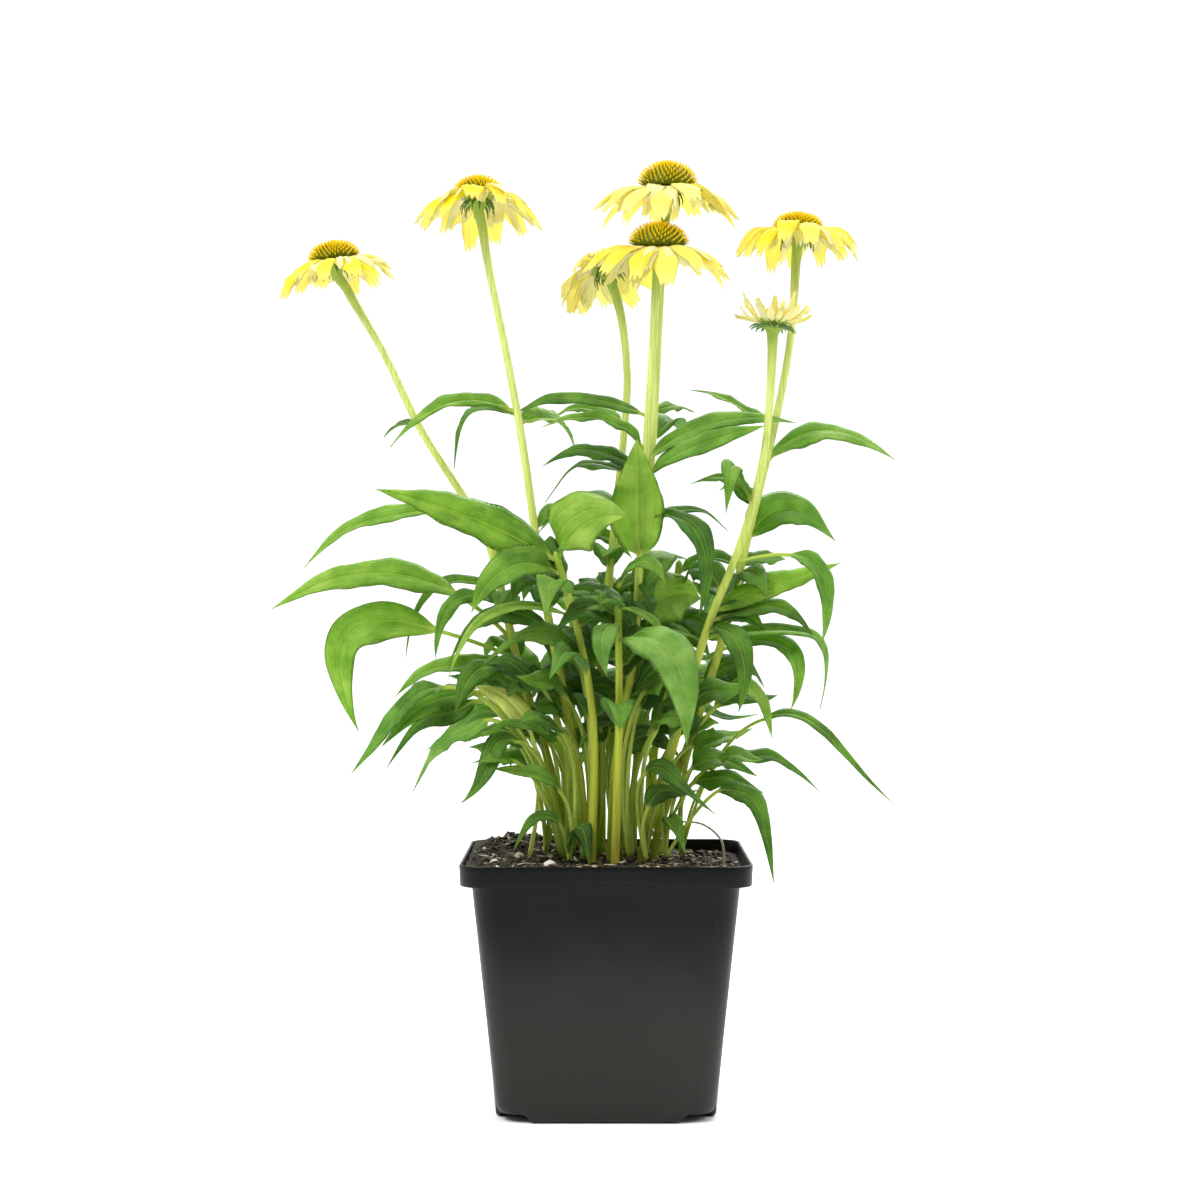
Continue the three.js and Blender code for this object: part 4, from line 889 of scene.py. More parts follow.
def parabola(curve, s):
    """A midrib's points and directions at shares s. Its control points weigh (1-s)^2, 2s(1-s) and s^2."""
    s = np.asarray(s)[..., None]
    points = (1 - s) ** 2 * curve[0] + 2 * s * (1 - s) * curve[1] + s**2 * curve[2]
    return points, unit((1 - s) * (curve[1] - curve[0]) + s * (curve[2] - curve[1]))


def twisted(way, side, twist):
    """A blade's directions across and up, turned by a twist about the way it runs."""
    across = np.cos(twist)[..., None] * side + np.sin(twist)[..., None] * np.cross(way, side)
    return across, np.cross(way, across)


def thin_rings(centre, across, up, wide, above, below, **attributes):
    """A thin blade from columns of points over its midrib: how wide of it, and how far above and below it.
    A ring goes over the top from the left edge to the right and back underneath. Attributes are three
    values each for the top and the same underneath, but for the last of the blade's, which is 0 there."""

    def around(top, under):
        return np.concatenate([top, under[:, -2:0:-1]], axis=1)

    level = centre + wide[..., None] * across
    shaped = {}
    for key, values in attributes.items():
        top = stacked(*values, wide)[..., :3]
        shaped[key] = around(top, top * [1, 1, key != "blade"])[None]
    return skin(around(level + above[..., None] * up, level + below[..., None] * up)[None], **shaped)


def leaf(curve, flat, blade, look, rng):
    """A leaf's surface. Over the midrib the width swells as b^0.6 and tapers as (1-b)^1.1, b being the
    share of the blade. Its halves rise from the fold, bulge, roll under at the edge as a fourth power, and
    wave. The midrib is a half-round rib beneath, which is the whole stalk before the blade. The leaf snakes
    and nods along its midrib, hangs its tip and twists, each by a random share, so that no two are alike.
    Its look gives a tone, a warmth and how green its underside is, and may add a roll in degrees, a
    widening, a fold and how steady its path is."""
    tone, warmth, green_beneath, roll, widening, folding, steady = look
    s = np.linspace(0, 1, LEAF_STEPS)
    centre, _ = parabola(curve, s)
    along = np.append(0, np.cumsum(np.linalg.norm(np.diff(centre, axis=0), axis=1)))
    b = np.clip((s - blade["stalk"]) / (1 - blade["stalk"]), 0, 1)
    snake, nod, hang = steady * along[-1] * rng.uniform(*SWAY)
    centre = centre + (snake * np.sin(2 * np.pi * b))[:, None] * flat
    centre[:, 2] += nod * np.sin(2 * np.pi * b) - hang * ease(0.72, 1, s)
    way = unit(np.gradient(centre, axis=0))
    turning, set_off = steady * np.radians(rng.uniform(*TURNING))
    twist = blade["roll"] + np.radians(roll) * ease(0, 0.2, b) + turning * (b - 0.3) + set_off
    across, up = twisted(way, unit(np.cross(np.cross(way, flat), way)), twist)
    rib = (0.16 + 0.72 * (1 - b) ** 0.8 + 0.55 * ease(0.1, 0.0, b)) * np.clip(blade["width"] / 19, 0.7, 1)
    swell = (b / 0.35) ** 0.6 * ((1 - b) / 0.65) ** 1.1
    out = np.array([0.25, 0.5, 0.75, 1])
    halves = []
    for side_width in rng.uniform(*HALF_SHARES, 2):
        bumps = 1 + 0.045 * np.sin(rng.uniform(8, 15) * b + rng.uniform(0, 6)) * ease(0.05, 0.3, b)
        half = np.maximum(1.04 * rib, blade["width"] / 2 * LEAF_WIDEN * widening * side_width * swell * bumps)
        halves.append(rib[:, None] + (half - rib)[:, None] * out)
    middle = rib[:, None] * np.array([-1, -0.5, 0, 0.5, 1])
    wide = np.concatenate([-halves[0][:, ::-1], middle, halves[1]], axis=1)
    half = np.where(wide < 0, halves[0][:, -1:], halves[1][:, -1:])
    a = wide / half
    fold = folding * rng.uniform(*FOLD_SHARES) * (FOLD_ROOT + (FOLD_TIP - FOLD_ROOT) * s)
    fold = np.radians(np.minimum(MOST_FOLD, fold))[:, None]
    lean = half * np.sin(fold) * (np.sqrt(a**2 + 0.02) - np.sqrt(0.02))
    bulge = half * (0.1 * np.sin(np.pi * np.abs(a)) - rng.uniform(*ROLL_UNDER) * a**4)
    phase = np.where(wide < 0, rng.uniform(0, 6.3), rng.uniform(0, 6.3))
    waves, swing = rng.uniform(*WAVES)
    wave = swing * half * np.abs(a) ** 2.2 * np.sin(2 * np.pi * waves * b[:, None] + phase)
    wave += 0.035 * half * np.sin(5.5 * np.pi * waves * b[:, None] + 1.7 * phase) * np.abs(a) ** 1.5
    height = (lean + bulge + wave) * ease(0, 0.12, b)[:, None]
    round_rib = rib[:, None] * np.sqrt(np.clip(1 - (wide / rib[:, None]) ** 2, 0, 1))
    sheet = 0.2 * (1 - a**2)
    groove = 0.8 - 1.05 * ease(0.0, 0.12, b)[:, None]
    return thin_rings(
        centre[:, None], across[:, None], up[:, None], wide * np.cos(fold),
        height + sheet + groove * round_rib, height - sheet - 0.85 * round_rib,
        blade=(b[:, None], a, 1.0), spot=(wide, along[:, None], rib[:, None]),
        tint=(tone, warmth, green_beneath),
    )


def leaf_finish(name, cool, warm, beneath, rib_colour, glow, through):
    """A leaf's skin. Its tint gives a tone, which with clouds picks the shade, and how far that is from
    blue-green to yellow-green. The midrib, two long veins either side of it and finer ones that arch
    forward are paler and sunken, the net between them is quilted, the underside is duller, and the stalk
    takes the colour of the rib."""
    cover = Finish(name)
    share, across, side = cover.attribute("blade")
    wide, along, rib = cover.attribute("spot")
    tone, warmth, green_beneath = cover.attribute("tint")
    off = cover.calc("ABSOLUTE", wide)
    shade = cover.plus(tone, cover.spread(cover.noise(60, 5, 0.6), 0.3, 0.7, -0.24, 0.24))
    shade = cover.plus(shade, cover.spread(share, 0.1, 1.0, -0.08, 0.08))
    colour = cover.mix(warmth, cover.ramp(shade, *cool), cover.ramp(shade, *warm))
    line = cover.calc("SUBTRACT", off, cover.times(rib, 0.75))
    midrib = cover.spread(line, 0.2, -0.1)
    forward = cover.calc("MULTIPLY_ADD", cover.times(off, off), -0.035, along)
    arched = cover.calc("PINGPONG", cover.calc("MULTIPLY_ADD", off, -1.5, forward), 2.6)
    branches = cover.times(cover.spread(arched, 0.42, 0.05), cover.spread(off, 0.2, 1.5))
    veins = cover.times(branches, 0.4)
    aside = cover.calc("ABSOLUTE", across)
    for place, strength in ((0.3, 1.0), (0.62, 0.7)):
        vein = cover.spread(cover.calc("ABSOLUTE", cover.calc("SUBTRACT", aside, place)), 0.035, 0.008)
        vein = cover.times(vein, cover.spread(share, 0.92, 0.6, 0, strength))
        veins = cover.calc("MAXIMUM", veins, vein)
    cells = {"Vector": cover.vector("spot"), "Scale": 0.75}
    net = cover.add("TexVoronoi", cells, out="Distance", feature="DISTANCE_TO_EDGE")
    pale = cover.calc("MAXIMUM", cover.times(midrib, 0.42), cover.times(cover.spread(share, 0.06, 0.0), 0.92))
    colour = cover.mix(veins, colour, rib_colour, 0.38)
    under = cover.times(cover.calc("LESS_THAN", side, 0.98), cover.calc("SUBTRACT", 1.0, green_beneath))
    colour = cover.mix(under, colour, beneath, 0.5)
    colour = cover.mix(pale, colour, rib_colour)
    # painted rim of light: a pale yellow-green band along the edge stands in for light coming through the
    # thin margin
    colour = cover.mix(cover.spread(aside, 0.95, 1.0), colour, rib_colour, 0.3)
    dip = cover.calc("MAXIMUM", cover.times(midrib, 0.7), veins)
    quilt = cover.calc("MULTIPLY_ADD", cover.spread(net, 0.0, 0.25), 0.22, cover.calc("SUBTRACT", 1.0, dip))
    relief = cover.bump(cover.calc("MULTIPLY_ADD", cover.noise(2500, 2), 0.12, quilt), 0.6, 0.9)
    rough = cover.spread(cover.noise(240, 3), 0.3, 0.7, 0.5, 0.62)
    light = cover.mix(0.5, colour, glow)
    return cover.done(colour, rough, relief, light, through, Specular_IOR_Level=0.38)


# The looks of leaves that differ from the rest, by node and height of root, each as leaf takes it. Tone 1
# is pale and warmth 1 yellow-green. What a look leaves out is plain.
LOOKS = {
    ("flower_stem_1", 328): (0.85, 0.85, 1, 0, 1.0, 0.8, 0.2),
    ("flower_stem_1", 298): (0.8, 0.85, 1, 15, 1.1),
    ("flower_stem_1", 355): (0.25, 0.15),
    ("flower_stem_1", 414): (0.35, 0.4),
    ("flower_stem_1", 386.5): (0.62, 0.4, 0, 8),
    ("flower_stem_1", 377): (0.6, 0.4, 0, 10),
    ("leafy_shoot_2", 326): (0.62, 1.00, 1, -12, 1.15, 0.5, 0.2),
    ("leafy_shoot_2", 327): (0.8, 0.85, 1, 40, 1.35, 0.8, 0.2),
    ("leafy_shoot_2", 293): (0.9, 0.8, 0, 0, 1, 1, 0.3),
    ("leafy_shoot_2", 318): (0.6, 0.6, 0, -15),
    ("flower_stem_2", 268): (0.72, 0.75, 0, -10, 0.9, 0.8, 0.3),
    ("flower_stem_2", 279): (0.75, 0.75, 0, -8, 1.05, 0.7, 0.3),
    ("flower_stem_2", 361): (0.78, 0.5),
    ("leafy_shoot_1", 279): (0.72, 0.25, 0, 0, 1.05, 0.8, 0.3),
    ("flower_stem_7", 296): (0.68, 1.00, 0, 10, 1.05, 0.6, 0.2),
    ("flower_stem_7", 325.6): (0.65, 0.15),
    ("flower_stem_7", 280): (0.72, 0.3),
    ("flower_stem_6", 387): (0.8, 0.3, 0, 8, 1, 0.6, 0.3),
    ("flower_stem_6", 339): (0.65, 0.3, 0, 12, 1.1, 0.7, 0.4),
    ("flower_stem_6", 279): (0.68, 0.45),
    ("flower_stem_3", 417): (0.68, 0.65),
    ("yellowed_leaf", CROWN): (0.6, 0.6, 1, -10, 0.8, 0.3, 0.2),
}
PLAIN_LOOK = (0.5, 0.5, 0, 0, 1, 1, 1)


def grown(roots, rows, rng, tones, node=None, warmest=0.8):
    """Leaves from their roots and rows. On a CAD node each takes the bend in which its tip lies on a corner
    of the node's solid, and one that isn't there is left out. Others stand as their rows say."""
    corners = node_points(node) if node else None
    surfaces = []
    for root, row in zip(roots, rows):
        blade = as_leaf(*row)
        curves, flats = midribs(root, blade, BENDS)
        found = nearest(corners, curves[:, 2]) if node else 0
        if found is None:
            continue
        look = LOOKS.get((node, row[0]), (rng.uniform(*tones), rng.uniform(0.1, warmest)))
        surfaces.append(leaf(curves[found], flats[found], blade, look + PLAIN_LOOK[len(look):], rng))
    return surfaces


def leaf_roots(stem, rows):
    """Where the leaves of rows stand on a stem."""
    return stem_points(stem["knots"], np.array([row[0] for row in rows], float))


def crown_leaves(at, rows, rng, tones, node):
    """The leaves that rise from one crown."""
    roots = [np.array([*at, CROWN], float)] * len(rows)
    return grown(roots, [[CROWN, *row] for row in rows], rng, tones, node, 0.85)


green = leaf_finish(
    "leaf_green",
    (
        (0.0, (0.014, 0.07, 0.007)), (0.35, (0.06, 0.2, 0.02)), (0.65, (0.15, 0.355, 0.055)),
        (1.0, (0.33, 0.54, 0.15)),
    ),
    (
        (0.0, (0.024, 0.08, 0.004)), (0.35, (0.095, 0.24, 0.01)), (0.65, (0.215, 0.42, 0.026)),
        (1.0, (0.42, 0.61, 0.08)),
    ),
    (0.24, 0.43, 0.15), (0.6, 0.68, 0.13), (0.45, 0.77, 0.02), 0.45,
)
draw = np.random.default_rng(37)
for kind, stems in (("flower_stem", FLOWER_STEMS), ("leafy_shoot", LEAFY_SHOOTS)):
    for i, stem in enumerate(stems, 1):
        roots = leaf_roots(stem, stem["leaves"])
        surfaces = grown(roots, stem["leaves"], draw, (0.2, 0.75), f"{kind}_{i}", 0.85)
        add_piece(f"{kind}_{i}_leaves", surfaces, green, f"{kind}_{i}")
for i, (at, rows) in enumerate(CROWNS, 1):
    surfaces = crown_leaves(at, rows, draw, (0.2, 0.7), f"basal_tuft_{i}")
    add_piece(f"basal_leaves_{i}", surfaces, green, f"basal_tuft_{i}")

# What fills the middle of the plant: a few small leaves low on each stem, and slim leaves between the
# tufts, whose long stalks stand close together. Those that would point at the front are left out.
INNER_LEAVES = 4  # on each stem
SLIM_LEAVES = 36
inner = []
for i, stem in enumerate(FLOWER_STEMS + LEAFY_SHOOTS[:2]):
    rows = [
        (206 + 28 * k + 3 * i, SPIRAL_TURN * (INNER_LEAVES * i + k) + 20, 44 - 3 * k, 2, 14, 21)
        for k in range(INNER_LEAVES)
    ]
    inner += grown(leaf_roots(stem, rows), rows, draw, (0.1, 0.5))
add_piece("inner_leaves", inner, green)
slim = []
for k in range(SLIM_LEAVES):
    out = (7 + 0.75 * k) * spokes(np.radians(SPIRAL_TURN * k))
    if out[1] < -0.8 * np.hypot(*out[:2]):
        continue
    row = (CROWN, SPIRAL_TURN * k, 22 + 1.2 * k, 122 - 1.8 * k, 18, 15, 0.2, 0.7)
    slim += grown([out * [1, 0.8, 0] + [0, 4, CROWN]], [row], draw, (0.3, 0.7))
add_piece("slim_leaves", slim, green)

old = leaf_finish(
    "yellowed_leaf",
    ((0.0, (0.82, 0.88, 0.2)), (0.5, (0.88, 0.96, 0.3)), (1.0, (0.93, 0.97, 0.42))),
    ((0.0, (0.86, 0.88, 0.14)), (0.5, (0.9, 0.96, 0.22)), (1.0, (0.94, 0.97, 0.34))),
    (0.9, 0.95, 0.28), (0.82, 0.9, 0.28), (0.95, 0.97, 0.25), 0.35,
)
surfaces = crown_leaves(*YELLOWED_LEAF, draw, (0.4, 0.6), "yellowed_leaf")
add_piece("old_leaf", surfaces, old, "yellowed_leaf")

# ---- Dead stalk ----
# The thin dry stalk of a lost leaf arches out of the soil at the right. It is the colour of straw, and
# finely cracked along its length.

DEAD_STALK = [[46, -6, 170], [58, -6, 168.5], [68, -6, 161], [71, -6, 152], [71, -6, 136]]
WIRE_POINTS = 48
WIRE_RADII = (0.55, 0.85)  # at its broken end and at the soil


def smooth_path(knots, count):
    """A smooth path through knots: Catmull-Rom cubics, each of two knots and their two neighbours."""
    knots = np.array(knots, float)
    padded = np.concatenate([2 * knots[:1] - knots[1:2], knots, 2 * knots[-1:] - knots[-2:-1]])
    u = np.linspace(0, len(knots) - 1, count)
    i = np.minimum(u.astype(int), len(knots) - 2)
    t = (u - i)[:, None]
    a, b, c, d = (padded[i + k] for k in range(4))
    return 0.5 * (2 * b + (c - a) * t + (2 * a - 5 * b + 4 * c - d) * t**2 + (3 * b - a - 3 * c + d) * t**3)


def straw_finish():
    """Dry straw with grey and brown streaks."""
    dry = Finish("dry_stalk")
    streaks = dry.streaks((300, 300, 90), 4)
    colour = dry.ramp(streaks, (0.3, (0.28, 0.22, 0.13)), (0.7, (0.62, 0.56, 0.42)))
    return dry.done(colour, 0.8, dry.bump(streaks, 0.3))


wire = tube(smooth_path(DEAD_STALK, WIRE_POINTS), np.linspace(*WIRE_RADII, WIRE_POINTS), 10, 0.06)
add_piece("dead_stalk_wire", [wire], straw_finish(), "dead_stalk")

# ---- Bracts ----
# Two whorls of narrow green bracts stand under each head. The outer ones bend back and down, and on the
# young head they stand out level.

OPEN_BRACTS = (10, 8.5)  # how far the bracts of an open head stand out and hang down
WHORLS = (13, 12)
BRACT_STEPS = 12


def bracts(stem, rng):
    """Each bract is a thin pointed blade along a parabola that leaves the cup 4.2 mm out and bends outwards
    and down. At a share s of its length its half width is 0.12 mm and 1.45 mm times s^0.25 (1-s)^0.7."""
    head = head_frame(stem)
    out, down = stem["head"].get("bracts", OPEN_BRACTS)
    s = np.linspace(0, 1, BRACT_STEPS)
    a = np.array([-1, -0.5, 0, 0.5, 1])
    half = (0.12 + 1.45 * s**0.25 * (1 - s) ** 0.7)[:, None]
    level = 0.25 * half * a**2
    surfaces = []
    for whorl, count in enumerate(WHORLS):
        for k in range(count):
            ray = spokes(2 * np.pi * (k + 0.5 * whorl + 0.2 * rng.uniform(-1, 1)) / count)
            far = out * rng.uniform(0.9, 1.12) - whorl
            low = -2.4 - down * rng.uniform(0.55, 1.0) * (0.55 if whorl else 1)
            start = 4.2 * ray + (1.2 * whorl - 3.2) * UP
            bend = 0.95 * far * ray + (whorl - 1.2) * UP
            centre, way = parabola(np.array([start, bend, far * ray + low * UP]), s)
            flat = left_of(ray)
            surfaces.append(thin_rings(
                in_frame(head, centre)[:, None], flat @ head[1], (np.cross(way, flat) @ head[1])[:, None],
                half * a, level + 0.28 * (1 - a**2), level - 0.38 * (1 - a**2),
                blade=(s[:, None], a, 1.0), spot=(0, 0, rng.uniform(0.2, 0.7)),
            ))
    return surfaces


def bract_finish():
    """Dark green bracts, paler at the base, with brownish tips."""
    leafy = Finish("bract_green")
    share = leafy.attribute("blade")[0]
    tone = leafy.attribute("spot")[2]
    colour = leafy.ramp(
        leafy.plus(leafy.times(tone, 0.6), leafy.times(leafy.noise(400, 3), 0.5)),
        (0.2, (0.04, 0.12, 0.018)), (0.9, (0.11, 0.24, 0.035)),
    )
    colour = leafy.mix(leafy.spread(share, 0.35, 0.0), colour, (0.17, 0.31, 0.05))
    colour = leafy.mix(leafy.spread(share, 0.82, 1.0), colour, (0.16, 0.12, 0.03), 0.7)
    return leafy.done(colour, 0.55, leafy.bump(leafy.noise(1500, 3), 0.15))


draw = np.random.default_rng(53)
bract_green = bract_finish()
for i, stem in enumerate(FLOWER_STEMS, 1):
    add_piece(f"bloom_{i}_bracts", bracts(stem, draw), bract_green)

# ---- Cones ----
# Each head's middle is a dome of stiff spines in two crossed spirals, with the tiny disc florets among them.
# The spines are green at the foot, darkened there by painted shade between them, and gold to orange at the
# tip.

CONE_LOW = 2.3
DOME_SIDES = 40
SPINE_LENGTH = 4.6
SPINE_INSET = (0.72, 0.62)  # shares of it by which the dome is narrower and lower than the cone
SPINES = 230
SPINE_TURN = 137.508  # degrees from one spine to the next
SPINE_SHARES = np.array([0, 0.3, 0.65, 0.88, 1])  # shares of a spine's length, and its radii there
SPINE_RADII = np.array([0.56, 0.54, 0.5, 0.36, 0.06])


def cone(stem, rng):
    """A dome, and spines on it in a spiral. Spine k stands where the sine of its latitude is (k/count)^0.9,
    points between the dome's normal and its axis, bends up a little and narrows to a point."""
    head = head_frame(stem)
    inner = stem["head"]["cone"] - SPINE_LENGTH * SPINE_INSET[0]
    dome = stem["head"]["dome"] - SPINE_LENGTH * SPINE_INSET[1]
    level = np.linspace(0, np.pi / 2, 10)[:-1]
    radius = np.append([0.72 * inner], inner * np.cos(level))
    height = np.append([CONE_LOW - 0.6], CONE_LOW + 0.4 + dome * np.sin(level))
    rings = radius[:, None, None] * spokes(np.arange(DOME_SIDES) * 2 * np.pi / DOME_SIDES)
    rings = rings + height[:, None, None] * UP
    surfaces = [skin(in_frame(head, rings)[None], spine=(0.0, 0.3, 0.5))]
    k = np.arange(SPINES) + 0.5
    sine = ((k / SPINES) ** 0.9)[:, None]
    flat = np.sqrt(1 - sine**2)
    spoke = spokes(np.radians(SPINE_TURN) * k)
    foot = spoke * (inner * flat - 0.4) + UP * (CONE_LOW + dome * sine)
    way = unit(spoke * flat + UP * (0.25 + sine))
    long = SPINE_LENGTH * (0.94 + 0.12 * rng.random((SPINES, 1))) * (1 - 0.25 * sine**3)
    aside = unit(np.cross(way, spoke + 0.01 * UP))
    section = oval(6, aside, 0.75 * np.cross(way, aside))
    rise = (0.45 * SPINE_SHARES**2)[:, None] * UP
    middles = foot[:, None] + way[:, None] * (long * SPINE_SHARES)[..., None] + rise
    rings = middles[:, :, None] + SPINE_RADII[:, None, None] * section[:, None]
    marks = stacked(SPINE_SHARES, sine, rng.random((SPINES, 1)))
    surfaces.append(skin(in_frame(head, rings), spine=marks[:, :, None]))
    return surfaces


def cone_finish():
    """Spines green at the foot, darkened there and on the dome by painted shade between the spines, gold
    above and orange at the tip, the lowest ones greener all along.
    """
    gold = Finish("cone_gold")
    share, sine, own = gold.attribute("spine")
    low = gold.spread(sine, 0.35, 0.0, 0.0, 0.22)
    # the darkest olive stops at the foot of the ramp are the spines' own green under painted shade from the
    # spines around them
    colour = gold.ramp(
        gold.calc("SUBTRACT", gold.calc("MULTIPLY_ADD", own, 0.12, share), low),
        (0.0, (0.095, 0.125, 0.003)), (0.3, (0.26, 0.255, 0.003)), (0.55, (0.66, 0.53, 0.004)),
        (0.8, (0.96, 0.68, 0.006)), (1.0, (0.95, 0.52, 0.004)),
    )
    return gold.done(colour, 0.55, gold.bump(gold.noise(1800, 2), 0.1), Specular_IOR_Level=0.15)


draw = np.random.default_rng(61)
gold = cone_finish()
for i, stem in enumerate(FLOWER_STEMS, 1):
    add_piece(f"bloom_{i}_spines", cone(stem, draw), gold, f"bloom_{i}_cone")

# ---- Petals ----
# Ray petals hang from the rim of each head. They are vivid yellow on top and pale cream beneath, ridged
# along their length and cut into two or three teeth at the tip. The young head's are short and stand up.

DISC_RADIUS = 9
DISC_MIDDLE = 1.15
PETAL_WIDEN = 1.22
YOUNG_SLIM = 0.55  # share of the width that a petal of the young head has yet
TIP_WIDTH = 0.62  # share of the width at the tip of the solid's petal, and the fold of its section in degrees
RAY_FOLD = 6
FADED = [0.1, -0.1, -0.05, 0.24, 0.45, 0.0, 0.5]  # how far each head's petals have faded to cream

# The petals under the ring, and those that stand in it on the young head: how many, and from and to which
# share of the ring's reach, drop and width.
LOWER_PETALS = (15, (0.62, 0.98), (0.4, 0.95), (0.4, 0.8))
YOUNG_PETALS = (16, (0.9, 1.35), (0.2, 0.9), (0.45, 0.6))


def vary(index):
    """Numbers between -1 and 1 that never repeat: twice the fraction of index times 0.618034, less one."""
    return 2 * ((index * 0.618034) % 1) - 1


def petal(curve, flat, width, pale, rng, columns=15, steps=24, curl=1.0):
    """A petal's surface. Its half width rises from 0.3 at the claw to 1 at 0.42 and falls to 0.7 before the
    teeth. Across it, the tip is cut back by the square of a sine, so that three teeth stand between two
    notches. Two ridges run along it, its sides hang, and its end curls down."""
    a = np.linspace(-1, 1, columns)
    s = np.linspace(0, 1, steps)[:, None]
    notch = rng.uniform(0.05, 0.16)
    skew = rng.uniform(-0.14, 0.14)
    cut = notch * np.sin(1.5 * np.pi * np.clip(a + skew, -1, 1)) ** 2 + 0.09 * a**4
    t = s - (cut + rng.uniform(-0.05, 0.05) * a) * s**4
    centre, way = parabola(curve, t)
    half = width / 2 * PETAL_WIDEN * (0.3 + 0.7 * ease(0, 0.42, s)) * (1 - 0.3 * ease(0.62, 1.0, s))
    twist = np.radians(rng.uniform(-20, 20)) * curl * s + np.radians(rng.uniform(-10, 10))
    across, up = twisted(way, flat, twist)
    wide = half * a
    cup = rng.uniform(0.02, 0.34)
    ridges = 0.24 * np.cos(3 * np.pi * a) * ease(0.05, 0.3, s) * (1 - a**4)
    wave = 0.09 * half * np.abs(a) ** 2 * np.sin(2 * np.pi * rng.uniform(0.8, 2.0) * s + rng.uniform(0, 6))
    height = -cup * half * a**2 + ridges + wave - 2.2 * curl * rng.uniform(-0.4, 1) * ease(0.6, 1, s)
    sheet = 0.2 * (1 - a**2) + 0.35 * ease(0.2, 0.0, s) * (1 - a**2)
    return thin_rings(
        centre, across, up, wide, height + sheet, height - sheet,
        blade=(s, a, 1.0), spot=(wide, 30 * s, rng.random()), tint=(pale, rng.random(), 1.0),
    )


def end_corners(curves, flats, half):
    """The left corner of each bend's end ring, folded up from the midrib as on the solid."""
    way = unit(curves[:, 2] - curves[:, 1])
    up = np.cross(way, flats)
    fold = np.radians(RAY_FOLD)
    return curves[:, 2] - flats * half * np.cos(fold) + up * half * np.sin(fold)


def ray_petals(stem, i, rng):
    """All petals of a head. Their turns, reaches, drops and widths vary as on the solid, and each takes the
    bend in which its end ring's corner lies on a corner of the solid."""
    head, shape = head_frame(stem), stem["head"]
    corners = node_points(f"bloom_{i + 1}_rays")
    surfaces = []
    slim = 1 if shape["drop"] > 0 else YOUNG_SLIM
    for k in range(shape["rays"]):
        blade = dict(
            turn=360 / shape["rays"] * k + 23 * i + 2 * vary(k + 5 * i),
            reach=(shape["reach"] - DISC_RADIUS) * (1 + 0.07 * vary(3 * k + i)),
            lift=-shape["drop"] * (1 + 0.35 * vary(2 * k + 3 * i + 1)),
            arch=shape["bow"], width=shape["width"] * (1 + 0.1 * vary(5 * k + i)), lean=0,
        )
        root = DISC_RADIUS * spokes(np.radians(blade["turn"])) + DISC_MIDDLE * UP
        curves, flats = midribs(root, blade, BENDS)
        ends = in_frame(head, end_corners(curves, flats, blade["width"] / 2 * TIP_WIDTH))
        found = nearest(corners, ends)
        if found is None:
            continue
        curve, flat = in_frame(head, curves[found]), flats[found] @ head[1]
        surfaces.append(petal(curve, flat, slim * blade["width"], FADED[i] + rng.uniform(0, 0.25), rng))
    return surfaces


def lower_petals(stem, rng):
    """Paler, narrower petals that hang between and beneath the ring, or stand among it on the young head.
    Each bows out before it drops."""
    head, shape = head_frame(stem), stem["head"]
    count, reaches, drops, widths = LOWER_PETALS if shape["drop"] > 0 else YOUNG_PETALS
    surfaces = []
    for k in range(count):
        ray = spokes(2 * np.pi * (k + rng.uniform(0.2, 0.8)) / count)
        far = (shape["reach"] - DISC_RADIUS) * rng.uniform(*reaches)
        low = shape["drop"] * rng.uniform(*drops)
        root = (DISC_RADIUS - 0.6) * ray + (DISC_MIDDLE - 0.5) * UP
        knee = (DISC_RADIUS + 0.62 * far) * ray + (DISC_MIDDLE - 0.12 * low + 0.6 * shape["bow"]) * UP
        tip = (DISC_RADIUS + far) * ray + (DISC_MIDDLE - low) * UP
        curve = in_frame(head, np.array([root, knee, tip]))
        width = shape["width"] * rng.uniform(*widths)
        surfaces.append(petal(curve, left_of(ray) @ head[1], width, rng.uniform(0.75, 1.0), rng, 11, 18, 1.4))
    return surfaces


def petal_finish():
    """Yellow petals: vivid on top, cream beneath, paler at the ragged tip, finely lined. The lower ones are
    cream all over, and all let light through."""
    silk = Finish("petal_yellow")
    share, _, side = silk.attribute("blade")
    lines = silk.streaks((2.2, 0.05, 1), 3, at=silk.vector("spot"))
    tone = silk.attribute("spot")[2]
    pale = silk.attribute("tint")[0]
    colour = silk.ramp(
        silk.calc("MULTIPLY_ADD", tone, 0.4, silk.times(silk.noise(90, 3), 0.6)),
        (0.2, (0.88, 0.65, 0.004)), (0.55, (0.895, 0.785, 0.015)), (0.9, (0.9, 0.855, 0.085)),
    )
    colour = silk.mix(silk.spread(share, 0.7, 1.0), colour, (0.97, 0.95, 0.42), 0.45)
    colour = silk.mix(silk.spread(lines, 0.5, 0.8), colour, (0.93, 0.62, 0.006), 0.35)
    under = silk.times(silk.calc("LESS_THAN", side, 0.98), 0.5)
    colour = silk.mix(silk.calc("MAXIMUM", under, pale), colour, (0.9, 0.885, 0.59))
    relief = silk.bump(silk.calc("MULTIPLY_ADD", silk.noise(2000, 2), 0.2, lines), 0.3)
    light = silk.mix(0.3, colour, (0.93, 0.89, 0.16))
    return silk.done(colour, 0.6, relief, light, 0.48, Specular_IOR_Level=0.2)


draw = np.random.default_rng(71)
yellow = petal_finish()
for i, stem in enumerate(FLOWER_STEMS):
    add_piece(f"bloom_{i + 1}_petals", ray_petals(stem, i, draw), yellow, f"bloom_{i + 1}_rays")
    add_piece(f"bloom_{i + 1}_lower_petals", lower_petals(stem, draw), yellow)

# ---- Studio ----
# A plain white floor, a white backdrop far behind it that only the camera sees, soft lamps above and
# behind, dimmer light from the front, and a level camera.

STAGE_SIDES = 96
FLOOR_END = 1600
SWEEP_RADIUS = 2400
BACKDROP_TOP = 5000


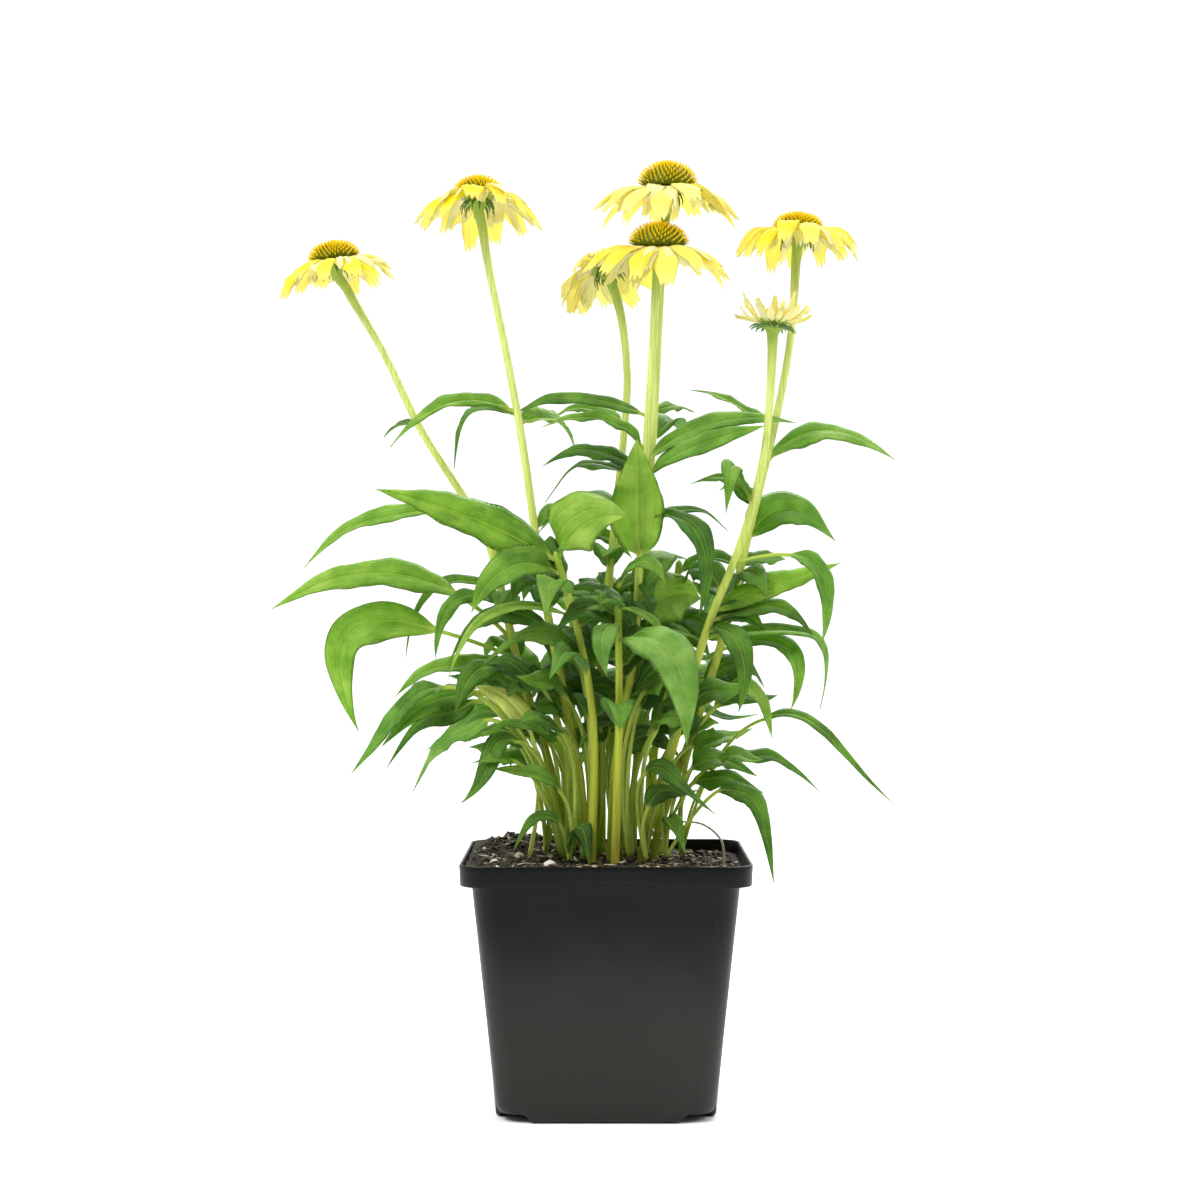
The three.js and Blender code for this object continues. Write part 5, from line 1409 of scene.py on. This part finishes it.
def of_revolution(name, out, up):
    """An open surface turned about the upright axis from a profile of distances and heights."""
    around = spokes(np.linspace(0, 2 * np.pi, STAGE_SIDES, endpoint=False))
    rings = out[:, None, None] * around + up[:, None, None] * UP
    made = mesh_object(name, rings.reshape(-1, 3), ring_walls(len(out), STAGE_SIDES)[:, ::-1].tolist())
    return made


def lamp(name, place, aim, size, power):
    """A soft square lamp that looks at a point."""
    light = bpy.data.lights.new(name, "AREA")
    light.size = size
    light.energy = power
    made = bpy.data.objects.new(name, light)
    made.location = place
    way = np.array(aim) - np.array(place)
    flat = np.hypot(way[0], way[1])
    made.rotation_euler = (np.arctan2(flat, -way[2]), 0, np.arctan2(-way[0], way[1]))
    bpy.context.scene.collection.objects.link(made)


paper = Finish("floor_white")
white = paper.ramp(paper.noise(3, 2), (0.3, (0.86, 0.86, 0.86)), (0.7, (0.9, 0.9, 0.9)))
floor = of_revolution("studio_floor", np.array([0.01, 300, 900, FLOOR_END]), np.zeros(4))
floor.data.materials.append(paper.done(white, 0.9))

sweep = np.linspace(0, np.pi / 2, 13)
out = np.append(FLOOR_END + SWEEP_RADIUS * np.sin(sweep), FLOOR_END + SWEEP_RADIUS)
up = np.append(SWEEP_RADIUS * (1 - np.cos(sweep)), BACKDROP_TOP)
backdrop = of_revolution("studio_backdrop", out, up)
glow = Finish("backdrop_white")
paint = glow.ramp(glow.noise(1, 2), (0.3, (0.33, 0.33, 0.33)), (0.7, (0.37, 0.37, 0.37)))
backdrop.data.materials.append(
    glow.done(paint, 1.0, Emission_Color=(1, 1, 1, 1), Emission_Strength=0.9, Specular_IOR_Level=0)
)
for kind in ("diffuse", "glossy", "transmission", "shadow", "volume_scatter"):
    setattr(backdrop, "visible_" + kind, False)

lamp("key_lamp", (-1.1, -0.9, 1.9), (0, 0, 0.35), 1.2, 50)
lamp("fill_lamp", (1.3, -0.7, 1.5), (0, 0, 0.3), 1.2, 18)
lamp("back_lamp", (0.4, 1.3, 1.5), (0, 0, 0.35), 1.4, 46)

scene = bpy.context.scene
scene.world = bpy.data.worlds.new("studio_sky")
scene.world.use_nodes = True
sky = scene.world.node_tree
way = sky.nodes.new("ShaderNodeSeparateXYZ")
sky.links.new(sky.nodes.new("ShaderNodeTexCoord").outputs["Generated"], way.inputs[0])
fall = sky.nodes.new("ShaderNodeMapRange")
fall.interpolation_type = "SMOOTHSTEP"
sky.nodes["Background"].inputs["Color"].default_value = (1, 1, 1, 1)
for key, value in (("From Min", -0.9), ("From Max", 0.5), ("To Min", 0.16), ("To Max", 1.1)):
    fall.inputs[key].default_value = value
sky.links.new(way.outputs["Y"], fall.inputs["Value"])
sky.links.new(fall.outputs[0], sky.nodes["Background"].inputs["Strength"])
scene.view_settings.view_transform = "Standard"

view = bpy.data.cameras.new("camera")
view.lens = 75
view.sensor_width = 36
camera = bpy.data.objects.new("camera", view)
camera.location = (-0.0035, -1.513, 0.3036)
camera.rotation_euler = (np.pi / 2, 0, 0)
scene.collection.objects.link(camera)
scene.camera = camera
